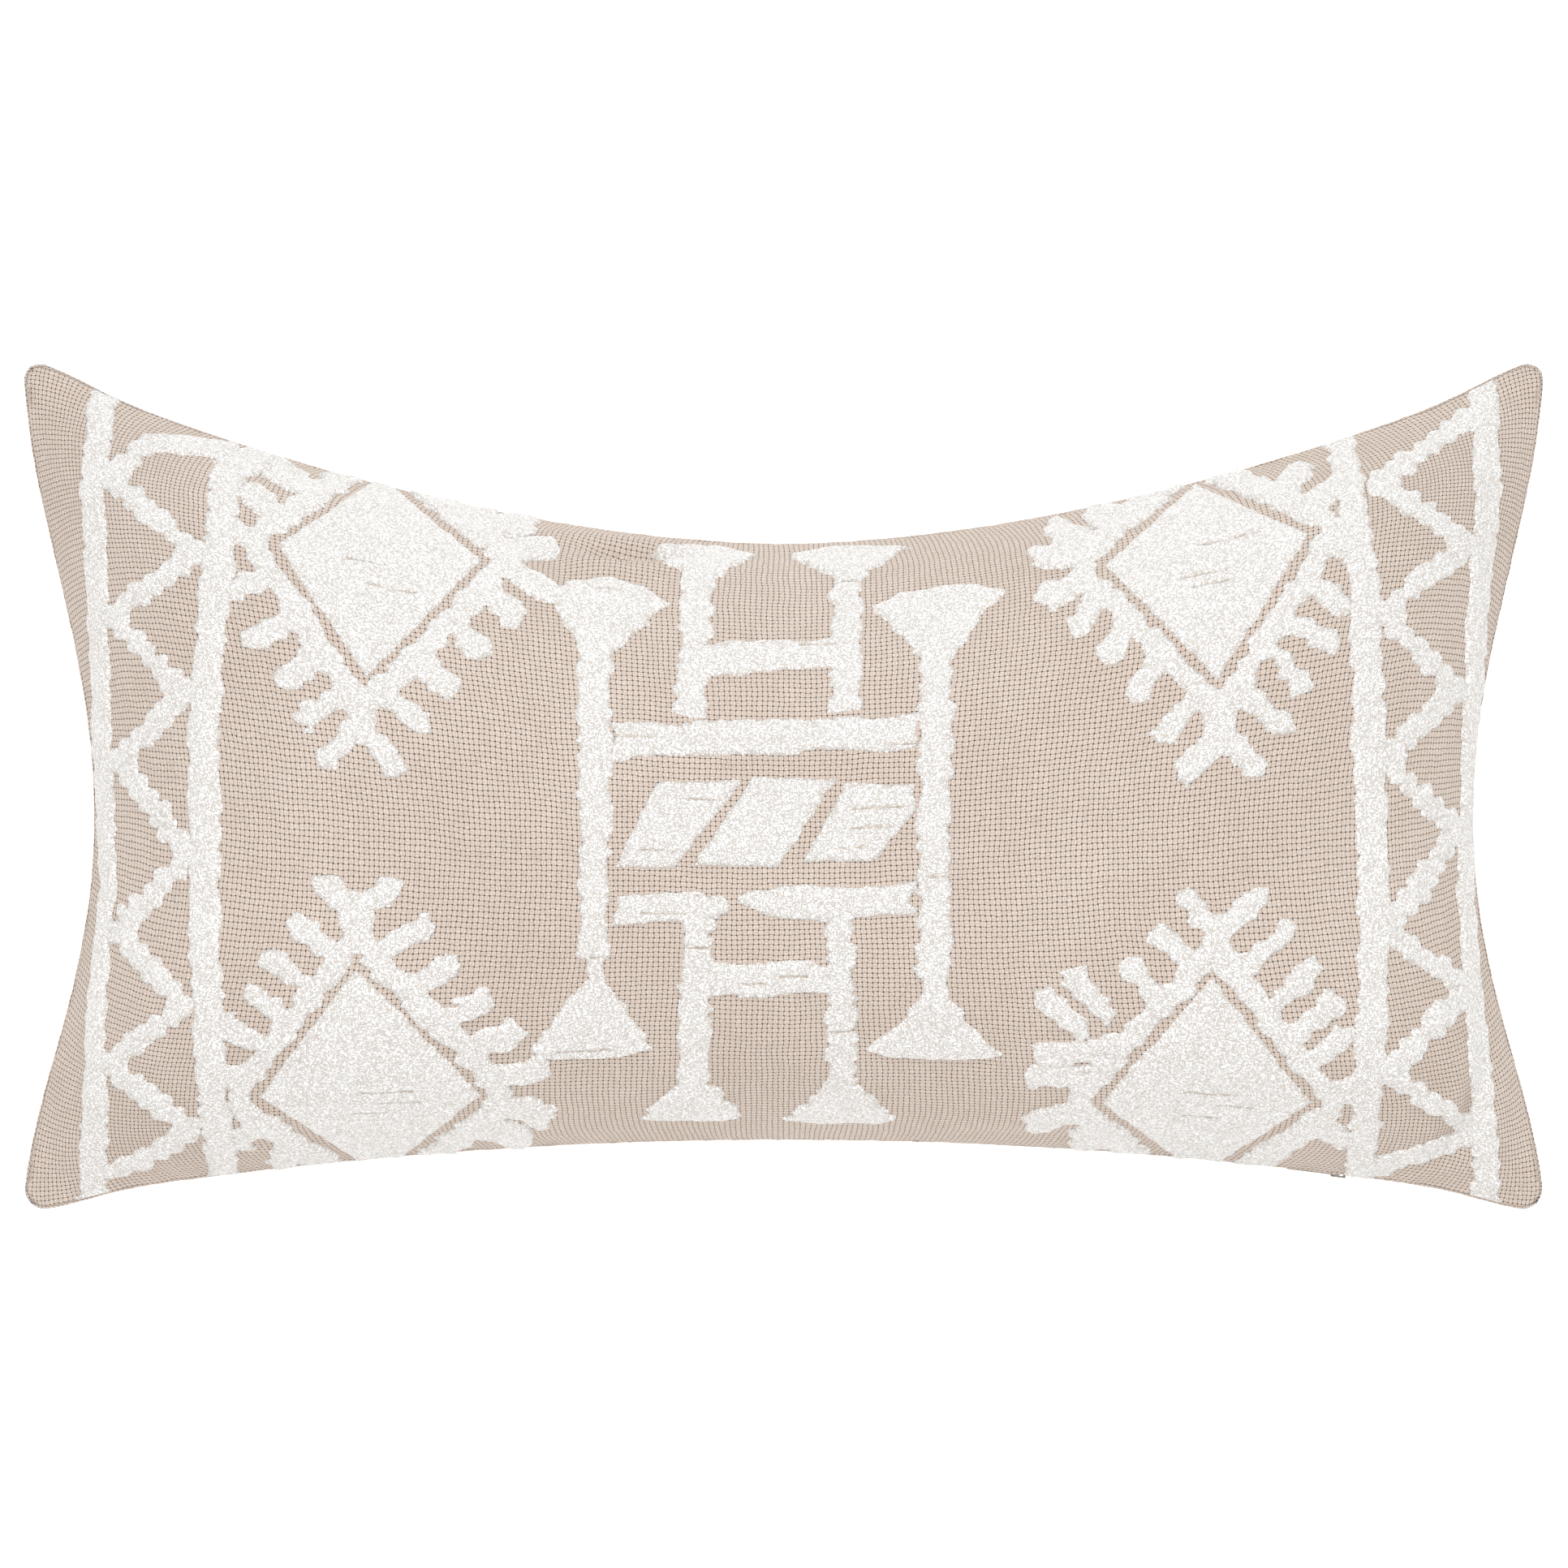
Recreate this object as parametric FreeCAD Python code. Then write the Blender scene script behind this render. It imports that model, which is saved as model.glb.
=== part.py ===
import FreeCAD, Part
import math
import os

# Lumbar throw pillow, zipped cover over a filled insert, lying on its back.
# +X runs along its length, +Y towards its top seam and +Z out of its embroidered front.
# The origin is on the surface it lies on, under its middle. Lengths are in millimetres.

Vec = FreeCAD.Vector

# Cover as it is cut and sewn, 26 by 14 inches
FLAT_HALF_LENGTH = 330.0
FLAT_HALF_WIDTH = 178.0

# Filled cover: its corners, and how far each seam pulls in at its middle
HALF_LENGTH = 320.0
HALF_WIDTH = 177.0
SIDE_SAG = 30.0
SIDE_LOW = 0.08
SIDE_ROUNDING = 1.85
TOP_SAG = 76.0
TOP_ROUNDING = 1.75
BOTTOM_SAG = 27.5
SEAM_Z = 88.0
CROWN = 97.0
END_SLOPE = 0.25
END_ROUNDING = 8
EDGE_ROUNDING = 4

# Layers, from the outside in
CLOTH = 1.2
YARN_HEIGHT = 1.8
HEM_INSETS = (0.9, 12.0)
HEM_STOPS = (0.8, 0.7)
INSERT_INSET = 15.0
INSERT_GAP = 0.6
INSERT_CLOTH = 0.6
FILLING_GAP = 0.4

# Seam thread and care label
THREAD_INSET = 2.4
THREAD_WIDTH = 0.6
THREAD_REACH = 1.6
LABEL_HALF_LENGTH = 20.0
LABEL_INSETS = (2.6, 11.5)
LABEL_THICKNESS = 0.3
LABEL_LIFT = 0.05

# Zip in the bottom seam: half lengths along the seam, and sections as (depth, height) from the seam
SLOT_HALF_LENGTH = 245.0
SLOT_HALF_HEIGHT = 4.3
SLOT_DEPTH = 13.0
SLOT_REACH = 5.0
LIP_THICKNESS = 1.2
LIP_DEPTH = 3.7
TAPE_HALF_LENGTH = 243.0
CHAIN_ENDS = (-229.0, 243.0)
CHAIN_GAP = 0.5
TAPE_DEPTH = 3.7
TAPE_THICKNESS = 0.5
TAPE_BEND_HEIGHT = 5.5
TAPE_EDGE = (9.5, 13.0)
COIL_DEPTHS = (2.3, 3.0, 3.7)
COIL_TOP = 2.2
TOOTH_PITCH = 2.0
TOOTH_WIDTH = 1.1
STOP_LENGTH = 1.6
STOP_DEPTHS = (1.9, 4.6)
STOP_TOP = 2.6
SLIDER_AT = 234.0
SLIDER_HALF_LENGTH = 5.0
PLATE_DEPTHS = ((0.6, 1.9), (4.6, 5.7))
PLATE_TAIL = 3.1
PLATE_SHOULDER = 3.9
PLATE_TAIL_END = 1.0
PLATE_SHOULDER_LENGTHS = (3.5, 4.5)
POST_LENGTHS = (2.25, 4.75)
FLANGE_HEIGHTS = (2.55, 3.1)
FLANGE_DEPTH = 3.2
POST_HALF_HEIGHT = 0.3
BRIDGE_HALF_LENGTH = 3.1
BRIDGE_DEPTHS = (-1.4, -0.7)
BRIDGE_HALF_HEIGHT = 0.9
BRIDGE_LEG = 1.0
PULL_LENGTH = 22.0
PULL_DEPTH = -0.1
PULL_THICKNESS = 0.9
PULL_HALF_HEIGHT = 2.4
EYE_HALF_HEIGHT = 1.2
EYE_LENGTH = 4.0

# How fast the cloth's even spread gives way to the seam's own, towards the rim
RIM_ROUNDING = 6

# Worked out from the sizes above
SEAM_RADIUS = (HALF_LENGTH ** 2 + BOTTOM_SAG ** 2) / (2 * BOTTOM_SAG)
SEAM_CENTRE = Vec(0, BOTTOM_SAG - HALF_WIDTH - SEAM_RADIUS, SEAM_Z)
TALL = 2 * (SEAM_Z + CROWN)

# Stations of the pole net of a crowned side, along the length and across it
LENGTH_STATIONS = (-1, -0.93, -0.8, -0.6, -0.3, 0, 0.3, 0.6, 0.8, 0.93, 1)
WIDTH_STATIONS = (-1, -0.9, -0.7, -0.4, 0, 0.4, 0.7, 0.9, 1)


def side_pull(t):
    """How far the side seams are drawn in, a little more below the middle than above it."""
    low = t + SIDE_LOW * (1 - t * t)
    return SIDE_SAG * (1 - low * low) ** SIDE_ROUNDING


def plan(s, t, inset=0.0):
    """Place in plan of a point of the filled cover; s and t run from -1 to 1 between its seams."""
    top_pull = TOP_SAG * (1 - abs(s) ** TOP_ROUNDING)
    bottom_pull = BOTTOM_SAG * (1 - s * s)
    x = s * (HALF_LENGTH - inset - side_pull(t))
    y = t * (HALF_WIDTH - inset) - top_pull * (1 + t) / 2 + bottom_pull * (1 - t) / 2
    return x, y


def fullness(s, t):
    """Height of the cloth above the seam plane, as a share of the crown."""
    return (1 - END_SLOPE * s * s) * (1 - s ** END_ROUNDING) * (1 - t ** EDGE_ROUNDING)


def clamped_knots(count):
    """Knots and multiplicities of a cubic spline with this many poles."""
    spans = count - 3
    return [float(k) for k in range(spans + 1)], [4] + [1] * (spans - 1) + [4]


def crowned_face(plan_inset, drop, side):
    """A crowned cloth surface: side is 1 for the front and -1 for the back."""
    poles = []
    for s in LENGTH_STATIONS:
        column = []
        for t in WIDTH_STATIONS:
            x, y = plan(s, t, plan_inset)
            column.append(Vec(x, y, SEAM_Z + side * (CROWN - drop) * fullness(s, t)))
        poles.append(column)
    u_knots, u_mults = clamped_knots(len(LENGTH_STATIONS))
    v_knots, v_mults = clamped_knots(len(WIDTH_STATIONS))
    surface = Part.BSplineSurface()
    surface.buildFromPolesMultsKnots(poles, u_mults, v_mults, u_knots, v_knots, False, False, 3, 3)
    return surface.toShape()


def flat_face(face):
    """The flat face inside the border of a crowned one."""
    edges = [edge.Curve.toShape() for edge in face.Edges]
    return Part.Face(Part.Wire(Part.__sortEdges__(edges)))


def outward(solid):
    """Turn a solid's faces outwards."""
    if solid.Volume < 0:
        solid.reverse()
    return solid


def side_solid(plan_inset, drop, side):
    """Everything between the seam plane and one crowned surface, above the surface it lies on."""
    face = crowned_face(plan_inset, drop, side)
    shell = Part.Shell([face, flat_face(face)])
    shell.sewShape()
    solid = outward(Part.Solid(shell.Shells[0]))
    if side > 0:
        return solid
    size = 3 * HALF_LENGTH
    floor = Part.makeBox(size, size, size, Vec(-size / 2, -size / 2, drop))
    return solid.common(floor)


def outline_face(inset):
    """The seam plane inside the seam line."""
    return flat_face(crowned_face(inset, 0.0, 1))


def hem_strip(seam_point_at, stop, side):
    """The edge of the cloth turned in along one seam, up to where the corners are clipped."""
    stations = [stop * k / 4 for k in range(-4, 5)]
    curves = []
    for inset in HEM_INSETS:
        curve = Part.BSplineCurve()
        curve.interpolate([Vec(*seam_point_at(station, inset), SEAM_Z) for station in stations])
        curves.append(curve)
    edges = [curve.toShape() for curve in curves]
    for end in ("FirstParameter", "LastParameter"):
        tips = [curve.value(getattr(curve, end)) for curve in curves]
        edges.append(Part.makeLine(*tips))
    face = Part.Face(Part.Wire(Part.__sortEdges__(edges)))
    return outward(face.extrude(Vec(0, 0, side * CLOTH)))


def seam_band(inner_inset, outer_inset, low, high):
    """A band that follows the whole seam, between two insets and two heights from the seam plane."""
    ring = outline_face(outer_inset).cut(outline_face(inner_inset))
    ring.translate(Vec(0, 0, low))
    return ring.extrude(Vec(0, 0, high - low))


def along_seam(section, start, end):
    """A bar that follows the bottom seam's arc; its section is in depth and height from the seam."""
    angle = math.degrees(start / SEAM_RADIUS)
    points = [Vec(0, SEAM_RADIUS + depth, height) + SEAM_CENTRE for depth, height in section]
    face = Part.Face(Part.makePolygon(points + points[:1]))
    face.rotate(SEAM_CENTRE, Vec(0, 0, -1), angle)
    return face.revolve(SEAM_CENTRE, Vec(0, 0, -1), math.degrees((end - start) / SEAM_RADIUS))


def rectangle(low_depth, high_depth, low, high):
    """Section of a square bar along the seam."""
    return [(low_depth, low), (high_depth, low), (high_depth, high), (low_depth, high)]


def at_slider(shape):
    """Move a shape from its own length, depth and height to the slider's place on the seam."""
    shape.translate(Vec(0, SEAM_RADIUS, 0) + SEAM_CENTRE)
    shape.rotate(SEAM_CENTRE, Vec(0, 0, -1), math.degrees(SLIDER_AT / SEAM_RADIUS))
    return shape


def block(lengths, depths, heights):
    """A block by its low and high length, depth and height."""
    corner = Vec(lengths[0], depths[0], heights[0])
    return Part.makeBox(lengths[1] - lengths[0], depths[1] - depths[0], heights[1] - heights[0], corner)


# Cover, insert and what is sewn to them

def zip_slot():
    """The space that the zip takes out of the bottom seam."""
    section = rectangle(-SLOT_REACH, SLOT_DEPTH, -SLOT_HALF_HEIGHT, SLOT_HALF_HEIGHT)
    return along_seam(section, -SLOT_HALF_LENGTH, SLOT_HALF_LENGTH)


def zip_lip(side):
    """The cover's edge, folded in beside the zip to where it is sewn to the tape."""
    low, high = sorted((side * SLOT_HALF_HEIGHT, side * (SLOT_HALF_HEIGHT + LIP_THICKNESS)))
    lip = along_seam(rectangle(0, LIP_DEPTH, low, high), -SLOT_HALF_LENGTH, SLOT_HALF_LENGTH)
    return lip.common(side_solid(0.0, 0.0, side))


def cover_panel(side):
    """One side of the cover with the hem that is turned in at its seam."""
    wall = side_solid(0.0, 0.0, side).cut(side_solid(CLOTH, CLOTH, side))
    long_stop, short_stop = HEM_STOPS
    hems = [hem_strip(lambda s, inset: plan(s, 1, inset), long_stop, side)]
    for end in (1, -1):
        hems.append(hem_strip(lambda t, inset: plan(end, t, inset), short_stop, side))
    return wall.cut(zip_slot()).fuse(zip_lip(side)).multiFuse(hems)


def seam_thread():
    """The row of stitching that closes the cover, open where the zip is."""
    band = seam_band(THREAD_INSET + THREAD_WIDTH, THREAD_INSET, -THREAD_REACH, THREAD_REACH)
    inside = side_solid(0.0, 0.0, 1).fuse(side_solid(0.0, 0.0, -1))
    return band.common(inside).cut(zip_slot())


def care_label():
    """A blank woven label on the hem inside the right-hand seam."""
    low = CLOTH + LABEL_LIFT
    band = seam_band(LABEL_INSETS[1], LABEL_INSETS[0], low, low + LABEL_THICKNESS)
    window = Part.makeBox(HALF_LENGTH, 2 * LABEL_HALF_LENGTH, TALL, Vec(0, -LABEL_HALF_LENGTH, 0))
    return band.common(window)


def insert_panel(side):
    """One side of the plain bag that holds the filling."""
    drop = CLOTH + INSERT_GAP
    outer = side_solid(INSERT_INSET, drop, side)
    return outer.cut(side_solid(INSERT_INSET + INSERT_CLOTH, drop + INSERT_CLOTH, side))


def filling():
    """The loft of fibre inside the insert."""
    inset = INSERT_INSET + INSERT_CLOTH + FILLING_GAP
    drop = CLOTH + INSERT_GAP + INSERT_CLOTH + FILLING_GAP
    return side_solid(inset, drop, 1).fuse(side_solid(inset, drop, -1)).removeSplitter()


# Zip

def zip_tape(side):
    """Woven tape of one half of the zip, leaning away from the cover's wall."""
    inner = TAPE_DEPTH + TAPE_THICKNESS
    edge_depth, edge_height = TAPE_EDGE
    section = [
        (TAPE_DEPTH, side * CHAIN_GAP), (inner, side * CHAIN_GAP),
        (inner, side * TAPE_BEND_HEIGHT), (edge_depth + TAPE_THICKNESS, side * edge_height),
        (edge_depth, side * edge_height), (TAPE_DEPTH, side * (TAPE_BEND_HEIGHT + TAPE_THICKNESS)),
    ]
    return along_seam(section, -TAPE_HALF_LENGTH, TAPE_HALF_LENGTH)


def seam_point(length, depth):
    """A point of the zip's middle plane, by its length along the seam and its depth."""
    angle = length / SEAM_RADIUS
    radius = SEAM_RADIUS + depth
    return SEAM_CENTRE + Vec(radius * math.sin(angle), radius * math.cos(angle), 0)


def zip_coil(side):
    """The row of teeth on one tape, as one toothed strip."""
    crest, root, back = COIL_DEPTHS
    start = CHAIN_ENDS[0] + STOP_LENGTH
    count = int((CHAIN_ENDS[1] - STOP_LENGTH - start) // TOOTH_PITCH)
    outline = []
    for tooth in range(count):
        left = start + tooth * TOOTH_PITCH
        right = left + TOOTH_WIDTH
        outline += [seam_point(left, root), seam_point(left, crest)]
        outline += [seam_point(right, crest), seam_point(right, root)]
    for tooth in range(count, -1, -1):
        outline.append(seam_point(start + tooth * TOOTH_PITCH, back))
    outline.insert(4 * count, seam_point(start + count * TOOTH_PITCH, root))
    face = Part.Face(Part.makePolygon(outline + outline[:1]))
    face.translate(Vec(0, 0, side * CHAIN_GAP))
    return outward(face.extrude(Vec(0, 0, side * (COIL_TOP - CHAIN_GAP))))


def top_stops():
    """Two clamped stops, one on each tape, where the closed slider ends."""
    stops = []
    for side in (1, -1):
        low, high = sorted((side * CHAIN_GAP, side * STOP_TOP))
        section = rectangle(STOP_DEPTHS[0], TAPE_DEPTH, low, high)
        stops.append(along_seam(section, CHAIN_ENDS[1] - STOP_LENGTH, CHAIN_ENDS[1]))
    return Part.makeCompound(stops)


def bottom_stop():
    """One stop across both tapes at the end that opens last."""
    section = rectangle(STOP_DEPTHS[0], TAPE_DEPTH, -STOP_TOP, STOP_TOP)
    return along_seam(section, CHAIN_ENDS[0], CHAIN_ENDS[0] + STOP_LENGTH)


def slider_plate(depths):
    """One plate of the slider: a tail as wide as the closed chain and wider shoulders ahead."""
    half = [(-SLIDER_HALF_LENGTH, PLATE_TAIL), (PLATE_TAIL_END, PLATE_TAIL)]
    half += [(length, PLATE_SHOULDER) for length in PLATE_SHOULDER_LENGTHS]
    half.append((SLIDER_HALF_LENGTH, PLATE_TAIL))
    outline = half + [(length, -height) for length, height in reversed(half)]
    points = [Vec(length, depths[0], height) for length, height in outline]
    face = Part.Face(Part.makePolygon(points + points[:1]))
    return outward(face.extrude(Vec(0, depths[1] - depths[0], 0)))


def slider_body():
    """The slider: two plates, the post between them, side flanges and the bridge for the pull."""
    top, under = PLATE_DEPTHS
    bridge_heights = (-BRIDGE_HALF_HEIGHT, BRIDGE_HALF_HEIGHT)
    pieces = [slider_plate(top), slider_plate(under)]
    pieces.append(block(POST_LENGTHS, (top[0], under[1]), (-POST_HALF_HEIGHT, POST_HALF_HEIGHT)))
    for side in (1, -1):
        heights = sorted(side * height for height in FLANGE_HEIGHTS)
        pieces.append(block((-SLIDER_HALF_LENGTH, PLATE_TAIL_END), (top[0], FLANGE_DEPTH), heights))
        foot = sorted((side * BRIDGE_HALF_LENGTH, side * (BRIDGE_HALF_LENGTH - BRIDGE_LEG)))
        pieces.append(block(foot, (BRIDGE_DEPTHS[0], top[1]), bridge_heights))
    pieces.append(block((-BRIDGE_HALF_LENGTH, BRIDGE_HALF_LENGTH), BRIDGE_DEPTHS, bridge_heights))
    return at_slider(pieces[0].multiFuse(pieces[1:]).removeSplitter())


def pull_tab():
    """The pull: an eye round the bridge, with a pin that turns under it, and a flat tab."""
    radius = PULL_THICKNESS / 2
    low, high = PULL_DEPTH - radius, PULL_DEPTH + radius
    heights = (-PULL_HALF_HEIGHT, PULL_HALF_HEIGHT)
    plate = block((PULL_HALF_HEIGHT - PULL_LENGTH, 0), (low, high), heights)
    tip_at = Vec(PULL_HALF_HEIGHT - PULL_LENGTH, low, 0)
    tip = Part.makeCylinder(PULL_HALF_HEIGHT, PULL_THICKNESS, tip_at, Vec(0, 1, 0))
    pin_at = Vec(0, PULL_DEPTH, -PULL_HALF_HEIGHT)
    pin = Part.makeCylinder(radius, 2 * PULL_HALF_HEIGHT, pin_at, Vec(0, 0, 1))
    eye = block((-EYE_LENGTH, -radius), (low, high), (-EYE_HALF_HEIGHT, EYE_HALF_HEIGHT))
    return at_slider(plate.multiFuse([tip, pin]).cut(eye).removeSplitter())


# Embroidery: outlines on the flat cloth, in millimetres from its middle

def even_spread(profile):
    """Turns a share of the flat cloth into a station of the filled one, even along its curve."""
    steps = 400
    stations = [2 * k / steps - 1 for k in range(steps + 1)]
    places = [profile(station) for station in stations]
    lengths = [0.0]
    for before, after in zip(places, places[1:]):
        lengths.append(lengths[-1] + math.dist(before, after))

    def station_at(share):
        wanted = (min(max(share, -1), 1) + 1) / 2 * lengths[-1]
        upper = next(k for k in range(1, steps + 1) if lengths[k] >= wanted or k == steps)
        part = (wanted - lengths[upper - 1]) / (lengths[upper] - lengths[upper - 1])
        return stations[upper - 1] + part * (stations[upper] - stations[upper - 1])

    return station_at


LENGTH_SPREAD = even_spread(lambda s: (plan(s, 0)[0], CROWN * fullness(s, 0)))
WIDTH_SPREAD = even_spread(lambda t: (plan(0, t)[1], CROWN * fullness(0, t)))


def on_pillow(point):
    """Place in plan, at the seam plane, of a point given on the flat cloth."""
    share_u, share_v = point[0] / FLAT_HALF_LENGTH, point[1] / FLAT_HALF_WIDTH
    rim_u, rim_v = share_u ** RIM_ROUNDING, share_v ** RIM_ROUNDING
    s = LENGTH_SPREAD(share_u) * (1 - rim_v) + share_u * rim_v
    t = WIDTH_SPREAD(share_v) * (1 - rim_u) + share_v * rim_u
    x, y = plan(s, t)
    return Vec(x, y, SEAM_Z)


def strip(path, half_width):
    """Outline of a stitched run of even width along a path."""
    left, right = [], []
    for k, (u, v) in enumerate(path):
        before, after = path[max(k - 1, 0)], path[min(k + 1, len(path) - 1)]
        along = (after[0] - before[0], after[1] - before[1])
        scale = half_width / math.hypot(*along)
        left.append((u - along[1] * scale, v + along[0] * scale))
        right.append((u + along[1] * scale, v - along[0] * scale))
    return left + right[::-1]


def pillar(foot, neck, head, half_width, flare_half, flare_bulge):
    """Outline of an upright run with a fan at its head: foot, neck and head are its middle line."""
    (foot_u, foot_v), (neck_u, neck_v), (head_u, head_v) = foot, neck, head
    return [
        (foot_u - half_width, foot_v), (foot_u + half_width, foot_v), (neck_u + half_width, neck_v),
        (head_u + flare_half, head_v), (head_u, head_v + flare_bulge), (head_u - flare_half, head_v),
        (neck_u - half_width, neck_v),
    ]


OUTER_BAR_HALF = 7.5
INNER_BAR_HALF = 7.5
ZIGZAG_HALF = 4.5
BORDERS = {
    "left": {
        "outer_bar": [
            (-293.5, 170), (-290, 115), (-301, 72.5), (-314.5, -38.5), (-305.5, -88), (-293.5, -118),
            (-297.5, -170),
        ],
        "inner_bar": [
            (-222.5, 172), (-226.5, 145.5), (-231, 83), (-249.5, 33), (-252.5, -40.5), (-240, -79.5),
            (-232.5, -107.5), (-239.5, -172),
        ],
        "zigzag": [
            (-233, 168), (-263.5, 153.5), (-280, 126.5), (-238.5, 92), (-294, 64.5), (-257.5, 37),
            (-306, 10.5), (-262.5, -21), (-302, -54), (-253, -75), (-289, -104.5), (-241, -138.5),
            (-288.5, -168),
        ],
    },
    "right": {
        "outer_bar": [
            (301, 170), (301.5, 118), (310, 67), (319.5, -40), (309, -88), (302.5, -123.5), (303, -172),
        ],
        "inner_bar": [
            (238, 172), (240, 74), (249.5, 39), (256.5, -46.5), (243.5, -85.5), (236, -125.5),
            (246.5, -172),
        ],
        "zigzag": [
            (296.5, 165), (240.5, 133.5), (294.5, 93.5), (250.5, 67), (305.5, 37), (264.5, 12),
            (314.5, -17.5), (262.5, -47.5), (306, -77), (247.5, -104), (296, -142.5), (249, -170),
        ],
    },
}

# Each corner has a stitched diamond in a leafy frame: its middle, and the ways to its outer
# and inner tips
CORNERS = {
    "top_left": ((-161, 112.5), (41.5, 10), (-12.5, -60.5)),
    "top_right": ((169, 113), (42.5, -7), (14.5, -64)),
    "bottom_left": ((-167.5, -118.5), (41, -4), (-10.5, 61)),
    "bottom_right": ((170.5, -127), (42, 1), (10.5, 67)),
}
CHANNEL = 0.10
FRAME_SCALE = 1.38
LEAF_HALF = 4.2
LEAF_TIPS = ((0.75, 1.34), (1.02, 1.08), (1.25, 0.82), (1.43, 0.56), (1.59, 0.19))
LEAF_DROP = 0.30
STEM_TOP = 1.40
FORK_TIP = (0.42, 1.58)
FORK_ROOT = (0.0, 1.30)
SEAM_CLEAR = 172.0


def corner_point(corner, p, q):
    """A point of a corner motif, in shares of its half width and half height."""
    middle, across, inward = CORNERS[corner]
    u = middle[0] + p * across[0] + q * inward[0]
    v = middle[1] + p * across[1] + q * inward[1]
    return u, max(min(v, SEAM_CLEAR), -SEAM_CLEAR)


def rhombus(corner, scale):
    """Outline of a diamond round a corner motif's middle."""
    return [corner_point(corner, *tip) for tip in ((-scale, 0), (0, -scale), (scale, 0), (0, scale))]


def leaf_strokes(corner):
    """The leaflets on the side of the frame that faces the pillow's middle, and the fork at its tip."""
    strokes = []
    middle_scale = (1 + CHANNEL + FRAME_SCALE) / 2
    for side in (-1, 1):
        for p, q in LEAF_TIPS:
            root_q = q - LEAF_DROP
            root_p = middle_scale - abs(root_q)
            ends = [corner_point(corner, side * root_p, root_q), corner_point(corner, side * p, q)]
            strokes.append(strip(ends, LEAF_HALF))
        ends = [corner_point(corner, *FORK_ROOT), corner_point(corner, side * FORK_TIP[0], FORK_TIP[1])]
        strokes.append(strip(ends, LEAF_HALF))
    stem = [corner_point(corner, 0, middle_scale), corner_point(corner, 0, STEM_TOP)]
    strokes.append(strip(stem, LEAF_HALF))
    return strokes


CENTRE_RUNS = {
    "left_column": [
        pillar((-79.5, -52.5), (-76, 78.5), (-69.5, 112), 6.7, 24, 11),
        pillar((-79.5, -48.5), (-78.5, -60.5), (-78, -95.5), 4.0, 25, -6),
    ],
    "right_column": [
        pillar((62.5, -60.5), (61.5, 79), (61.5, 111), 7.0, 26, 10),
        pillar((62.5, -55.5), (62.5, -70.5), (60, -97), 5.5, 27, -6),
    ],
    "upper_bar": [strip([(-72, 39), (56, 45)], 7.5)],
    "lower_bar": [strip([(-72, -30.5), (-27, -29)], 6.3), strip([(-20, -27), (56, -25.5)], 6.3)],
    "blocks": [
        [(-54.5, 23), (-17, 26), (-47, -12.5), (-72, -13)],
        [(-13, 27), (22, 26), (-2, -11), (-39, -11.5)],
        [(26, 24.5), (55.5, 23), (56, 11.5), (39, -9.5), (8, -9)],
    ],
    "upper_ladder": [
        pillar((-39, 53.5), (-33.5, 133.5), (-35.5, 161.5), 6.5, 24, 6),
        pillar((25.5, 55.5), (25.5, 133.5), (26, 162), 6.5, 25, 6),
        strip([(-33, 81.5), (25.5, 83.5)], 8.0),
    ],
    "lower_ladder": [
        pillar((-36, -32.5), (-36.5, -116), (-36.5, -145), 6.5, 21, -4),
        pillar((24, -32), (23.5, -116.5), (23, -146.5), 6.0, 22, -4),
        strip([(-35.5, -61.5), (24, -60.5)], 7.5),
    ],
}


def patch(outline):
    """The flat face, seen from above, under an outline that is given on the flat cloth."""
    points = [on_pillow(point) for point in outline]
    turn = sum(a.x * b.y - b.x * a.y for a, b in zip(points, points[1:] + points[:1]))
    if turn < 0:
        points.reverse()
    return Part.Face(Part.makePolygon(points + points[:1]))


def stitched(outlines, yarn_layer, hole=None):
    """Raised yarn inside the given outlines of the flat cloth."""
    faces = [patch(outline) for outline in outlines]
    shape = faces[0].multiFuse(faces[1:]).removeSplitter() if len(faces) > 1 else faces[0]
    if hole:
        shape = shape.cut(patch(hole))
    prisms = [outward(face.extrude(Vec(0, 0, 2 * CROWN))) for face in shape.Faces]
    runs = [prism.common(yarn_layer) for prism in prisms]
    return Part.makeCompound([solid for run in runs for solid in run.Solids])


def embroidery():
    """Every embroidered run of the front, by node name."""
    raised = side_solid(-YARN_HEIGHT, -YARN_HEIGHT, 1)
    yarn_layer = raised.cut(side_solid(0.0, 0.0, 1))
    nodes = {}
    half_widths = {"outer_bar": OUTER_BAR_HALF, "inner_bar": INNER_BAR_HALF, "zigzag": ZIGZAG_HALF}
    for hand, runs in BORDERS.items():
        for run, path in runs.items():
            nodes[f"embroidery_{hand}_{run}"] = stitched([strip(path, half_widths[run])], yarn_layer)
    for corner in CORNERS:
        nodes[f"embroidery_{corner}_diamond"] = stitched([rhombus(corner, 1.0)], yarn_layer)
        frame = [rhombus(corner, FRAME_SCALE)] + leaf_strokes(corner)
        inside = rhombus(corner, 1 + CHANNEL)
        nodes[f"embroidery_{corner}_leaves"] = stitched(frame, yarn_layer, inside)
    for run, outlines in CENTRE_RUNS.items():
        nodes[f"embroidery_centre_{run}"] = stitched(outlines, yarn_layer)
    return nodes


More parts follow.
